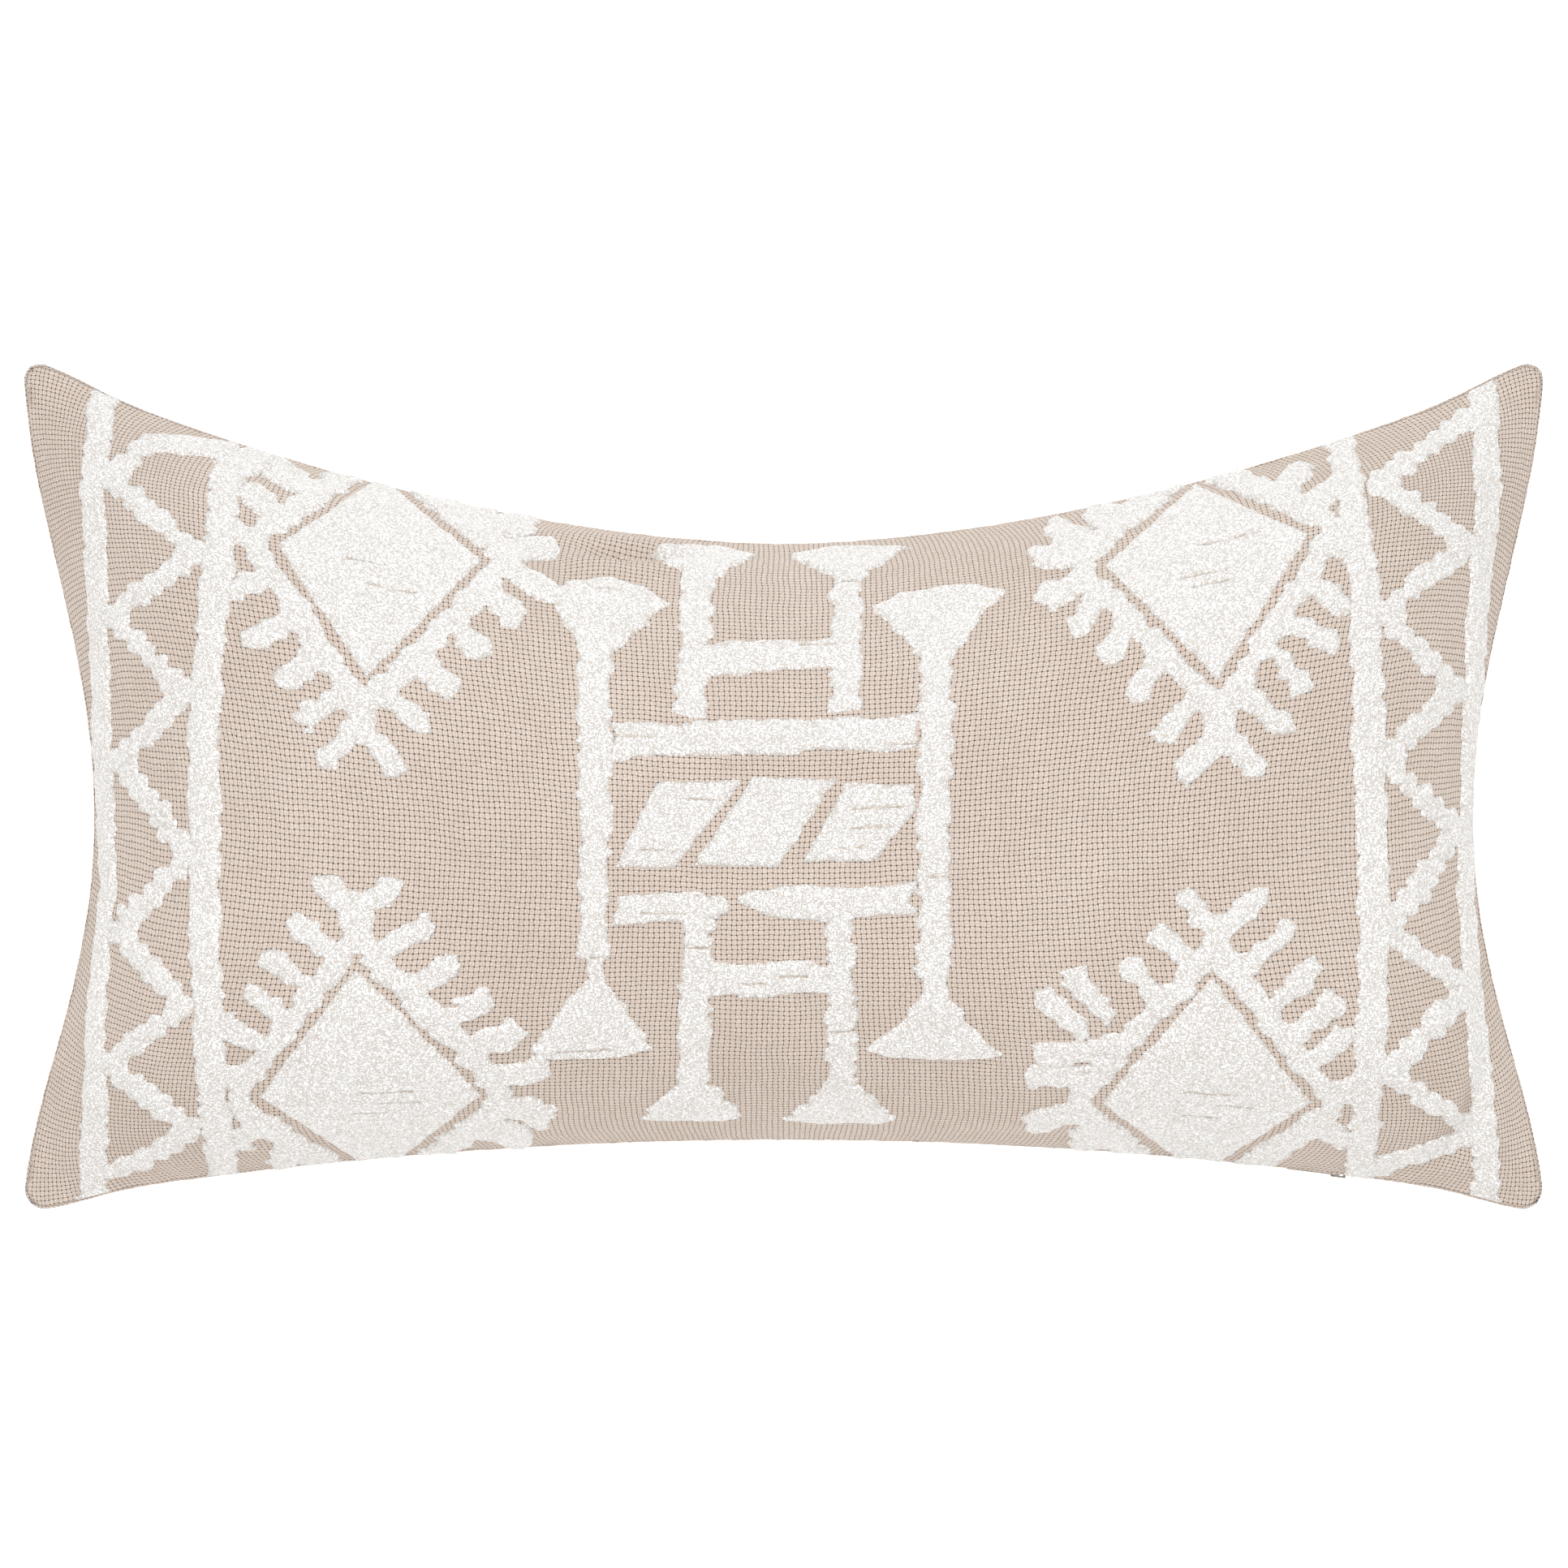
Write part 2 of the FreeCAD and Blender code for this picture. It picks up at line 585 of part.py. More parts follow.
def main():
    """Write one STEP file for each piece."""
    nodes = {
        "cover_front_panel": cover_panel(1),
        "cover_back_panel": cover_panel(-1),
        "cover_seam_thread": seam_thread(),
        "cover_care_label": care_label(),
        "insert_front_panel": insert_panel(1),
        "insert_back_panel": insert_panel(-1),
        "insert_filling": filling(),
        "zipper_tape_front": zip_tape(1),
        "zipper_tape_back": zip_tape(-1),
        "zipper_coil_front": zip_coil(1),
        "zipper_coil_back": zip_coil(-1),
        "zipper_top_stops": top_stops(),
        "zipper_bottom_stop": bottom_stop(),
        "zipper_slider_body": slider_body(),
        "zipper_pull_tab": pull_tab(),
    }
    nodes.update(embroidery())
    os.makedirs("parts", exist_ok=True)
    for name, shape in nodes.items():
        shape.exportStep(f"parts/{name}.step")
        print(f"{name:38s} solids {len(shape.Solids)} valid {shape.isValid()}")


main()
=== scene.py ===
import math
import bmesh
import bpy
import numpy as np
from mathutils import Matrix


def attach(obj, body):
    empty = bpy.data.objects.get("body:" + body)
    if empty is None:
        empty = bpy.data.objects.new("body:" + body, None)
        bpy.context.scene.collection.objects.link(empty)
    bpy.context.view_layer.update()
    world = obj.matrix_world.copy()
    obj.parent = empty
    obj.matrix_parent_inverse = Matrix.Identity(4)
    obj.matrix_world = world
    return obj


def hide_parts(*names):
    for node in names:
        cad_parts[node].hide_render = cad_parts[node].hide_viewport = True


# Throw pillow on its back: a zipped woven cover, embroidered on its front, over a filled insert.
# Lengths are in millimetres and heights are counted from the seam plane, until a mesh is made.

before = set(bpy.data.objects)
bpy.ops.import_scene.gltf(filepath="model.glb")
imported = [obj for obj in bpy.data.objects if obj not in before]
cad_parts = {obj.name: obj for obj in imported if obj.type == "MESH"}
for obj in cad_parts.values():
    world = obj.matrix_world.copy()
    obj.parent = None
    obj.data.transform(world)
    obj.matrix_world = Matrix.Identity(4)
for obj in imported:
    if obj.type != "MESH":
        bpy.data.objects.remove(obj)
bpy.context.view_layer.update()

# ---- sizes that repeat the frame's own

FLAT_HALF_LENGTH = 330.0
FLAT_HALF_WIDTH = 178.0
HALF_LENGTH = 320.0
HALF_WIDTH = 177.0
SIDE_SAG = 30.0
SIDE_LOW = 0.08
SIDE_ROUNDING = 1.85
TOP_SAG = 76.0
TOP_ROUNDING = 1.75
BOTTOM_SAG = 27.5
SEAM_Z = 88.0
START_CROWN = 93.0
RIM_ROUNDING = 6
SEAM_RADIUS = (HALF_LENGTH ** 2 + BOTTOM_SAG ** 2) / (2 * BOTTOM_SAG)
SEAM_CENTRE_Y = BOTTOM_SAG - HALF_WIDTH - SEAM_RADIUS
SLOT_HALF_LENGTH = 245.0
SLOT_HALF_HEIGHT = 4.3
SLOT_CLOSING = (1.5, 8.0)
LIP_DEPTH = 3.7
TAPE_HALF_LENGTH = 243.0
TAPE_TUCK = 12.0
CHAIN_ENDS = (-229.0, 243.0)
TOOTH_PITCH = 2.0

# Cloth and yarn
CLOTH = 1.1
YARN_HEIGHT = 1.8
YARN_CELL = 0.62
YARN_SUNK = 0.35
RIM_HEIGHT, SLIT_HEIGHT = 0.2, 0.25
LEAST_CELLS = 24
CORNER_ROUNDING = 11.0
CORNER_FILL = 3.3
CORNER_FILL_AT, CORNER_FILL_REACH = 308.0, 24.0
CORNER_FILL_FROM, CORNER_FILL_OVER = 125, 45
FLOOR_ROUNDING = 18.0
SEAM_CLEAR = 176.8
SIDE_CLEAR = 328.5


# ---- noise

def noise(x, y, pitch, seed):
    """Smooth noise from -1 to 1 with bumps about one pitch apart; a pair of pitches stretches it."""
    pitch_x, pitch_y = pitch if isinstance(pitch, tuple) else (pitch, pitch)
    table = np.random.default_rng(seed).uniform(-1, 1, (256, 256))
    gx, gy = x / pitch_x, y / pitch_y
    ix, iy = np.floor(gx).astype(int), np.floor(gy).astype(int)
    fx, fy = gx - ix, gy - iy
    fx, fy = fx * fx * (3 - 2 * fx), fy * fy * (3 - 2 * fy)
    low = table[ix & 255, iy & 255] * (1 - fx) + table[(ix + 1) & 255, iy & 255] * fx
    high = table[ix & 255, (iy + 1) & 255] * (1 - fx) + table[(ix + 1) & 255, (iy + 1) & 255] * fx
    return low * (1 - fy) + high * fy


def smoothstep(x):
    x = np.clip(x, 0, 1)
    return x * x * (3 - 2 * x)


def xyz(x, y, z=0.0):
    """Points from their coordinates."""
    return np.stack(np.broadcast_arrays(x, y, z), axis=-1)


def floored(height, rounding):
    """Heights kept above zero, with a rounded bend there."""
    return (height + np.sqrt(height ** 2 + rounding)) / 2


# ---- outline and blown-up cloth

def plan(s, t, inset=0.0):
    """Place in plan of a point of the filled cover; s and t run from -1 to 1 between its seams."""
    low = t + SIDE_LOW * (1 - t * t)
    side_pull = SIDE_SAG * (1 - low * low) ** SIDE_ROUNDING
    top_pull = TOP_SAG * (1 - np.abs(s) ** TOP_ROUNDING)
    bottom_pull = BOTTOM_SAG * (1 - s * s)
    x = s * (HALF_LENGTH - inset - side_pull)
    y = t * (HALF_WIDTH - inset) - top_pull * (1 + t) / 2 + bottom_pull * (1 - t) / 2
    return x, y


def fullness(s, t):
    """Share of the crown's height at a station of the start shape."""
    return (1 - 0.25 * s * s) * (1 - s ** 8) * (1 - t ** 4)


def even_spread(across):
    """Turns a share of the flat cloth into a station of the filled one, even along its curve."""
    stations = np.linspace(-1, 1, 2001)
    zero = np.zeros_like(stations)
    s, t = (zero, stations) if across else (stations, zero)
    place = plan(s, t)[1 if across else 0]
    height = START_CROWN * fullness(s, t)
    lengths = np.concatenate([[0.0], np.cumsum(np.hypot(np.diff(place), np.diff(height)))])
    return lambda share: np.interp((share + 1) / 2 * lengths[-1], lengths, stations)


LENGTH_SPREAD = even_spread(False)
WIDTH_SPREAD = even_spread(True)


def stations(u, v):
    """Stations of the filled cover at shares of the flat cloth."""
    rim_u, rim_v = np.abs(u) ** RIM_ROUNDING, np.abs(v) ** RIM_ROUNDING
    s = LENGTH_SPREAD(u) * (1 - rim_v) + u * rim_v
    t = WIDTH_SPREAD(v) * (1 - rim_u) + v * rim_u
    return s, t


SIM_NX, SIM_NY = 92, 50
SIM_FRAMES = 40


def grid_faces(ids):
    return np.stack([ids[:-1, :-1], ids[:-1, 1:], ids[1:, 1:], ids[1:, :-1]], axis=-1).reshape(-1, 4)


def sewn_grids(shape):
    """Point numbers of a front and a back grid that share their rims, and what lies inside these."""
    front_ids = np.arange(shape[0] * shape[1]).reshape(shape)
    inside = np.zeros(shape, bool)
    inside[1:-1, 1:-1] = True
    back_ids = front_ids.copy()
    back_ids[inside] = inside.size + np.arange(inside.sum())
    return front_ids, back_ids, inside


def sewn_faces(front_ids, back_ids):
    return np.concatenate([grid_faces(front_ids), grid_faces(back_ids)[:, ::-1]])


def calmed(grid):
    """The grid with its finest ripples smoothed away inside its rim."""
    for _ in range(3):
        across = (grid[1:-1, :-2] + grid[1:-1, 2:]) / 4
        along = (grid[:-2, 1:-1] + grid[2:, 1:-1]) / 4
        grid = grid.copy()
        grid[1:-1, 1:-1] = 0.5 * grid[1:-1, 1:-1] + 0.5 * (across + along)
    return grid


def blown_up():
    """Front and back of the cover as grids of points: two flat cuts sewn together and inflated."""
    share_u, share_v = np.meshgrid(np.linspace(-1, 1, SIM_NX + 1), np.linspace(-1, 1, SIM_NY + 1))
    s, t = stations(share_u, share_v)
    x, y = plan(s, t)
    height = START_CROWN * fullness(s, t)
    front, back = xyz(x, y, height), xyz(x, y, -height)
    front_ids, back_ids, inside = sewn_grids(share_u.shape)
    points = np.concatenate([front.reshape(-1, 3), back[inside]]) / 1000
    flat = xyz(share_u * FLAT_HALF_LENGTH, share_v * FLAT_HALF_WIDTH)
    flat_points = np.concatenate([flat.reshape(-1, 3), flat[inside]]) / 1000
    faces = sewn_faces(front_ids, back_ids)
    mesh = bpy.data.meshes.new("blown_up")
    mesh.from_pydata(points.tolist(), [], faces.tolist())
    cloth = bpy.data.objects.new("blown_up", mesh)
    bpy.context.scene.collection.objects.link(cloth)
    cloth.shape_key_add(name="Basis")
    cut = cloth.shape_key_add(name="cut")
    cut.data.foreach_set("co", flat_points.ravel())
    cut.value = 0
    seam = cloth.vertex_groups.new(name="seam")
    seam.add(front_ids[~inside].tolist(), 1.0, "REPLACE")
    modifier = cloth.modifiers.new("cloth", "CLOTH")
    modifier.collision_settings.use_collision = False
    modifier.point_cache.frame_start = 1
    modifier.point_cache.frame_end = SIM_FRAMES + 5
    settings = modifier.settings
    settings.quality = 8
    settings.mass = 0.3
    settings.tension_stiffness = settings.compression_stiffness = 40
    settings.shear_stiffness = 15
    settings.bending_stiffness = 5
    settings.tension_damping = settings.compression_damping = settings.shear_damping = 5
    settings.use_pressure = True
    settings.uniform_pressure_force = 8
    settings.rest_shape_key = cut
    settings.vertex_group_mass = "seam"
    settings.effector_weights.gravity = 0
    for number in range(1, SIM_FRAMES + 1):
        bpy.context.scene.frame_set(number)
    settled = cloth.evaluated_get(bpy.context.evaluated_depsgraph_get()).to_mesh()
    places = np.empty(len(settled.vertices) * 3, np.float32)
    settled.vertices.foreach_get("co", places)
    places = places.reshape(-1, 3).astype(float) * 1000
    bpy.data.objects.remove(cloth)
    bpy.context.scene.frame_set(1)
    return calmed(places[front_ids]), calmed(places[back_ids])


# ---- the two sides as smooth surfaces

def spline_weights(f):
    return [
        (1 - f) ** 3 / 6, (3 * f ** 3 - 6 * f ** 2 + 4) / 6,
        (-3 * f ** 3 + 3 * f ** 2 + 3 * f + 1) / 6, f ** 3 / 6,
    ]


def spline_slopes(f):
    return [-(1 - f) ** 2 / 2, (3 * f ** 2 - 4 * f) / 2, (-3 * f ** 2 + 2 * f + 1) / 2, f ** 2 / 2]


# Soft dents: middle on the flat cloth, half length, half width, turn in degrees, depth
FRONT_DENTS = (
    (-62, 150, 26, 8, 8, 8.0), (-98, 138, 24, 9, -50, 4.5), (8, 158, 30, 8, 0, 1.8),
    (298, -116, 40, 9, 62, 4.2), (284, -138, 34, 8, 48, 3.0), (-300, -128, 36, 9, -60, 2.0),
    (296, 128, 38, 9, -58, 2.2), (-296, 130, 38, 9, 58, 2.0), (-205, -150, 26, 8, 12, 1.5),
    (140, 158, 34, 8, -6, 1.6), (-180, 160, 26, 7, 8, 1.4), (96, -160, 30, 8, 4, 1.5),
)
BACK_DENTS = (
    (-290, 120, 42, 10, 55, 3.0), (292, 124, 42, 10, -55, 3.0), (-296, -120, 42, 10, -58, 3.0),
    (290, -122, 42, 10, 58, 3.0), (40, 150, 44, 10, 4, 2.6), (-120, 148, 36, 9, -6, 2.2),
)


def dents(u, v, rows):
    total = np.zeros_like(u)
    for middle_u, middle_v, length, width, turn, depth in rows:
        c, s = math.cos(math.radians(turn)), math.sin(math.radians(turn))
        along = (u - middle_u) * c + (v - middle_v) * s
        across = (v - middle_v) * c - (u - middle_u) * s
        total -= depth * np.exp(-(along / length) ** 2 - (across / width) ** 2)
        total += 0.35 * depth * np.exp(-(along / length) ** 2 - ((np.abs(across) - 2 * width) / width) ** 2)
    return total


def puckers(along, away, seed):
    """Small gathers that run in from a seam."""
    wave = noise(along, away, (4.6, 60.0), seed) + 0.6 * noise(along, away, (9.0, 60.0), seed + 1)
    return 0.55 * wave * np.exp(-np.abs(away) / 13.0) * (1 - np.exp(-np.abs(away) / 2.0))


class Side:
    """One side of the blown-up cover: hand is 1 for the front and -1 for the back."""

    def __init__(self, grid, hand, dent_rows, seed):
        rows = np.concatenate([2 * grid[:1] - grid[1:2], grid, 2 * grid[-1:] - grid[-2:-1]])
        ends = (2 * rows[:, :1] - rows[:, 1:2], rows, 2 * rows[:, -1:] - rows[:, -2:-1])
        self.net = np.concatenate(ends, axis=1)
        self.hand = hand
        self.dent_rows = dent_rows
        self.seed = seed

    def spline(self, u, v):
        """Points and outward normals of the smooth surface at places of the flat cloth."""
        gx = np.clip(u / (2 * FLAT_HALF_LENGTH) + 0.5, 0, 1) * SIM_NX
        gy = np.clip(v / (2 * FLAT_HALF_WIDTH) + 0.5, 0, 1) * SIM_NY
        ix = np.minimum(gx.astype(int), SIM_NX - 1)
        iy = np.minimum(gy.astype(int), SIM_NY - 1)
        wx, wy = spline_weights(gx - ix), spline_weights(gy - iy)
        sx, sy = spline_slopes(gx - ix), spline_slopes(gy - iy)
        point, along, across = (np.zeros(u.shape + (3,)) for _ in range(3))
        for a in range(4):
            for b in range(4):
                corner = self.net[iy + b, ix + a]
                point += (wx[a] * wy[b])[..., None] * corner
                along += (sx[a] * wy[b])[..., None] * corner
                across += (wx[a] * sy[b])[..., None] * corner
        normal = self.hand * np.cross(along, across)
        normal /= np.linalg.norm(normal, axis=-1, keepdims=True) + 1e-9
        return point, normal

    def relief(self, u, v):
        """How far the cloth stands off its smooth surface."""
        share_u, share_v = np.abs(u) / FLAT_HALF_LENGTH, np.abs(v) / FLAT_HALF_WIDTH
        inside = (1 - share_u ** 10) * (1 - share_v ** 10)
        total = 1.5 * noise(u, v, 82.0, self.seed) + 0.6 * noise(u, v, 33.0, self.seed + 1)
        total += 0.22 * noise(u, v, 11.0, self.seed + 2) + dents(u, v, self.dent_rows)
        total *= inside
        total += puckers(u, FLAT_HALF_WIDTH - np.abs(v), self.seed + 4 + self.hand)
        total += puckers(v, FLAT_HALF_LENGTH - np.abs(u), self.seed + 9)
        return total

    def place(self, u, v, lift=0.0):
        """Points of the cover at places of the flat cloth, lifted off its outer face."""
        near_u = np.clip(1 - (FLAT_HALF_LENGTH - np.abs(u)) / CORNER_ROUNDING, 0, 1)
        near_v = np.clip(1 - (FLAT_HALF_WIDTH - np.abs(v)) / CORNER_ROUNDING, 0, 1)
        round_u = near_u * np.sqrt(1 - near_v ** 2 / 2)
        round_v = near_v * np.sqrt(1 - near_u ** 2 / 2)
        flat_u = u + np.sign(u) * CORNER_ROUNDING * (round_u - near_u)
        flat_v = v + np.sign(v) * CORNER_ROUNDING * (round_v - near_v)
        point, normal = self.spline(flat_u, flat_v)
        share = np.maximum(near_u, near_v)
        corner = (near_u > 0) & (near_v > 0)
        if corner.any():
            rim_u, rim_v = near_u[corner] / share[corner], near_v[corner] / share[corner]
            edge_u = FLAT_HALF_LENGTH - CORNER_ROUNDING * (1 - rim_u * np.sqrt(1 - rim_v ** 2 / 2))
            edge_v = FLAT_HALF_WIDTH - CORNER_ROUNDING * (1 - rim_v * np.sqrt(1 - rim_u ** 2 / 2))
            rim_point = self.spline(np.sign(u[corner]) * edge_u, np.sign(v[corner]) * edge_v)[0]
            point[corner, 2] -= rim_point[:, 2] * share[corner] ** 4
        point += normal * (self.relief(u, v) + lift)[..., None]
        height = self.hand * point[..., 2]
        point[..., 2] = self.hand * (floored(height, 0.16) + zip_lift(u, v))
        near_corner = np.exp(-((np.abs(point[..., 0]) - CORNER_FILL_AT) / CORNER_FILL_REACH) ** 2)
        near_corner *= smoothstep((np.abs(point[..., 1]) - CORNER_FILL_FROM) / CORNER_FILL_OVER)
        point[..., 1] += CORNER_FILL * np.sign(point[..., 1]) * near_corner
        if self.hand < 0:
            point[..., 2] = floored(point[..., 2] + SEAM_Z, FLOOR_ROUNDING) - SEAM_Z
        return point, normal


def slot_share(u):
    """1 where the bottom seam is open for the zip, and 0 past its ends."""
    arc = SEAM_RADIUS * np.arcsin(np.clip(u / FLAT_HALF_LENGTH, -1, 1) * HALF_LENGTH / SEAM_RADIUS)
    return 1 - smoothstep((np.abs(arc) - SLOT_HALF_LENGTH - SLOT_CLOSING[0]) / SLOT_CLOSING[1])


def zip_lift(u, v):
    """How far the cloth beside the slot is lifted to meet it."""
    return SLOT_HALF_HEIGHT * slot_share(u) * np.exp(-(v + FLAT_HALF_WIDTH) / 15.0)


front_grid, back_grid = blown_up()
FRONT = Side(front_grid, 1, FRONT_DENTS, 11)
BACK = Side(back_grid, -1, BACK_DENTS, 41)


# ---- materials

class Nodes:
    """A short way to write a material's node tree."""

    def __init__(self, name):
        self.material = bpy.data.materials.new(name)
        self.material.use_nodes = True
        self.tree = self.material.node_tree
        self.shader = self.tree.nodes["Principled BSDF"]

    def add(self, kind, inputs=None, **values):
        node = self.tree.nodes.new(kind)
        for key, value in values.items():
            setattr(node, key, value)
        for key, value in (inputs or {}).items():
            self.put(node.inputs[key], value)
        return node

    def put(self, socket, value):
        if isinstance(value, bpy.types.NodeSocket):
            self.tree.links.new(value, socket)
        else:
            socket.default_value = value

    def math(self, operation, a, b=0.0, c=0.0, clamp=False):
        node = self.add("ShaderNodeMath", {0: a, 1: b, 2: c}, operation=operation, use_clamp=clamp)
        return node.outputs[0]

    def plus(self, a, b):
        return self.math("ADD", a, b)

    def less(self, a, b):
        return self.math("SUBTRACT", a, b)

    def times(self, a, b):
        return self.math("MULTIPLY", a, b)

    def scaled(self, a, factor, shift):
        return self.math("MULTIPLY_ADD", a, factor, shift)

    def off_middle(self, share):
        """0 in the middle of a share from 0 to 1, and 1 at its ends."""
        return self.math("ABSOLUTE", self.scaled(share, 2.0, -1.0))

    def vector(self, operation, a, b):
        return self.add("ShaderNodeVectorMath", {0: a, 1: b}, operation=operation).outputs[0]

    def cloth(self):
        """Places on the flat cloth in millimetres."""
        return self.add("ShaderNodeAttribute", attribute_name="cloth").outputs["Vector"]

    def local(self):
        return self.add("ShaderNodeTexCoord").outputs["Object"]

    def noise(self, vector, scale, detail=2.0, roughness=0.5, part="Fac"):
        inputs = {"Vector": vector, "Scale": scale, "Detail": detail, "Roughness": roughness}
        return self.add("ShaderNodeTexNoise", inputs).outputs[part]

    def strayed(self, vector, source, scale, detail, reach):
        """The vector moved about by smooth noise that is read at the source."""
        stray = self.vector("ADD", self.noise(source, scale, detail, part="Color"), (-0.5, -0.5, -0.5))
        return self.vector("ADD", vector, self.vector("MULTIPLY", stray, (reach, reach, 0)))

    def mix(self, factor, a, b, blend="MIX"):
        node = self.add("ShaderNodeMix", data_type="RGBA", blend_type=blend)
        for socket, value in zip((node.inputs[0], node.inputs[6], node.inputs[7]), (factor, a, b)):
            self.put(socket, value)
        return node.outputs[2]

    def blend(self, factor, a, b):
        node = self.add("ShaderNodeMix", data_type="FLOAT")
        for socket, value in zip((node.inputs[0], node.inputs[2], node.inputs[3]), (factor, a, b)):
            self.put(socket, value)
        return node.outputs[0]

    def span(self, value, low, high, to_low=0.0, to_high=1.0):
        inputs = {0: value, 1: low, 2: high, 3: to_low, 4: to_high}
        return self.add("ShaderNodeMapRange", inputs, interpolation_type="SMOOTHSTEP").outputs[0]

    def bump(self, height, distance):
        inputs = {"Height": height, "Distance": distance, "Strength": 1.0}
        return self.add("ShaderNodeBump", inputs).outputs[0]

    def finish(self, colour, roughness, normal=None, **fixed):
        self.put(self.shader.inputs["Base Color"], colour)
        self.put(self.shader.inputs["Roughness"], roughness)
        if normal:
            self.put(self.shader.inputs["Normal"], normal)
        for key, value in fixed.items():
            self.shader.inputs[key.replace("_", " ")].default_value = value
        return self.material


def rgb(r, g, b):
    """A linear colour from sRGB, 0 to 255."""
    channels = []
    for value in (r, g, b):
        share = value / 255
        channels.append(share / 12.92 if share <= 0.04045 else ((share + 0.055) / 1.055) ** 2.4)
    return (*channels, 1.0)


def basket_weave(name, block, light, dark, gap_shade, depth):
    """Cloth of paired yarns: blocks of two yarns that cross over and under each other, with painted shade
    in the grooves and pinholes.
    """
    n = Nodes(name)
    flat = n.cloth()
    moved = n.strayed(n.strayed(flat, flat, 0.035, 3.0, 3.0), flat, 0.33, 2.0, 0.8)
    axes = n.add("ShaderNodeSeparateXYZ", {0: moved})
    x, y = n.math("DIVIDE", axes.outputs[0], block), n.math("DIVIDE", axes.outputs[1], block)
    cell_x, cell_y = n.math("FLOOR", x), n.math("FLOOR", y)
    part_x, part_y = n.less(x, cell_x), n.less(y, cell_y)
    upright = n.times(n.math("FRACT", n.times(n.plus(cell_x, cell_y), 0.5)), 2.0)
    across, along = n.blend(upright, part_y, part_x), n.blend(upright, part_x, part_y)
    off_strand = n.off_middle(n.math("FRACT", n.times(across, 2.0)))
    off_across, off_along = n.off_middle(across), n.off_middle(along)
    strand_height = n.less(1.0, n.math("POWER", off_strand, 2.6))
    block_height = n.less(1.0, n.math("POWER", off_along, 3.0))
    height = n.times(n.scaled(strand_height, 0.55, 0.45), block_height)
    hole = n.span(n.plus(off_across, off_along), 1.42, 1.80)
    # Slubs: each thread is thicker, thinner, lighter or darker along its length
    row = n.add("ShaderNodeCombineXYZ", {0: n.times(axes.outputs[0], 0.07), 1: n.times(y, 2.0)})
    column = n.add(
        "ShaderNodeCombineXYZ", {0: n.times(x, 2.0), 1: n.times(axes.outputs[1], 0.07), 2: 7.0})
    slub = n.blend(upright, n.noise(row.outputs[0], 1.0), n.noise(column.outputs[0], 1.0))
    height = n.times(height, n.scaled(slub, 0.9, 0.55))
    fibre = n.noise(flat, 2.6, 2.0, 0.7)
    tone = n.plus(n.scaled(slub, 1.1, -0.05), n.scaled(fibre, 0.5, -0.25))
    patchy = n.scaled(n.noise(flat, 0.012, 3.0), 0.4, -0.2)
    colour = n.mix(n.math("ADD", tone, patchy, clamp=True), dark, light)
    # Painted shade: where blocks and strands dip under each other, the colour is darkened towards the gap
    # colour.
    colour = n.mix(n.span(height, -0.10, 0.42), gap_shade, colour)
    # Painted shade: the pinholes at block corners take a darker copy of the gap colour.
    hole_shade_colour = tuple(c * 0.6 for c in gap_shade[:3]) + (1.0,)
    colour = n.mix(n.times(hole, 0.95), colour, hole_shade_colour)
    relief = n.less(n.plus(height, n.times(fibre, 0.16)), n.times(hole, 0.35))
    return n.finish(
        colour, n.scaled(fibre, 0.12, 0.84), n.bump(relief, depth),
        Sheen_Weight=0.12, Sheen_Roughness=0.6, Specular_IOR_Level=0.2)


def tufted(name, light, dark, under):
    """Dense short stitches of soft yarn, each lying its own way, with painted shade in the grooves between
    them.
    """
    n = Nodes(name)
    flat = n.cloth()
    bare = n.add("ShaderNodeAttribute", attribute_name="bare").outputs["Fac"]
    moved = n.strayed(flat, flat, 0.5, 2.0, 2.0)
    gap_shades = []
    for stretch, shift in (((0.55, 1.3, 1.0), (0, 0, 0)), ((1.15, 0.7, 1.0), (37.0, 11.0, 5.0))):
        place = n.vector("ADD", n.vector("MULTIPLY", moved, stretch), shift)
        cells = n.add(
            "ShaderNodeTexVoronoi", {"Vector": place, "Scale": 0.80, "Randomness": 1.0},
            feature="DISTANCE_TO_EDGE")
        broken = n.span(n.noise(place, 1.3, 1.0), 0.44, 0.56)
        line = n.less(1.0, n.span(cells.outputs["Distance"], 0.03, 0.15))
        gap_shades.append(n.times(line, broken))
    gap_shade = n.math("MAXIMUM", *gap_shades)
    fibre = n.noise(flat, 3.0, 2.0, 0.7)
    # Painted shade: the grooves between stitches darken the yarn's colour; the same grooves also shape the
    # bump.
    tone = n.less(n.scaled(fibre, 0.36, 0.78), n.times(gap_shade, 0.62))
    patchy = n.scaled(n.noise(flat, 0.06, 3.0), 0.16, -0.08)
    colour = n.mix(n.math("ADD", tone, patchy, clamp=True), dark, light)
    colour = n.mix(n.times(bare, 0.75), colour, under)
    normal = n.bump(n.less(n.times(fibre, 0.4), gap_shade), 0.00015)
    return n.finish(colour, 0.9, normal, Sheen_Weight=0.15, Sheen_Roughness=0.5, Specular_IOR_Level=0.2)


def plain_weave(name, pitch, light, dark, depth, roughness=0.85):
    """Fine over-and-under cloth for the insert, label, tape and thread."""
    n = Nodes(name)
    flat = n.cloth()
    axes = n.add("ShaderNodeSeparateXYZ", {0: n.strayed(flat, flat, 0.08, 2.0, 1.5)})
    waves = [n.math("SINE", n.times(axes.outputs[k], math.pi / pitch)) for k in (0, 1)]
    weave = n.times(*waves)
    fibre = n.noise(flat, 1.6, 3.0, 0.6)
    tone = n.math("ADD", n.scaled(weave, 0.35, 0.35), n.times(fibre, 0.5), clamp=True)
    normal = n.bump(n.plus(weave, n.times(fibre, 0.6)), depth)
    return n.finish(n.mix(tone, dark, light), roughness, normal, Sheen_Weight=0.1, Specular_IOR_Level=0.25)


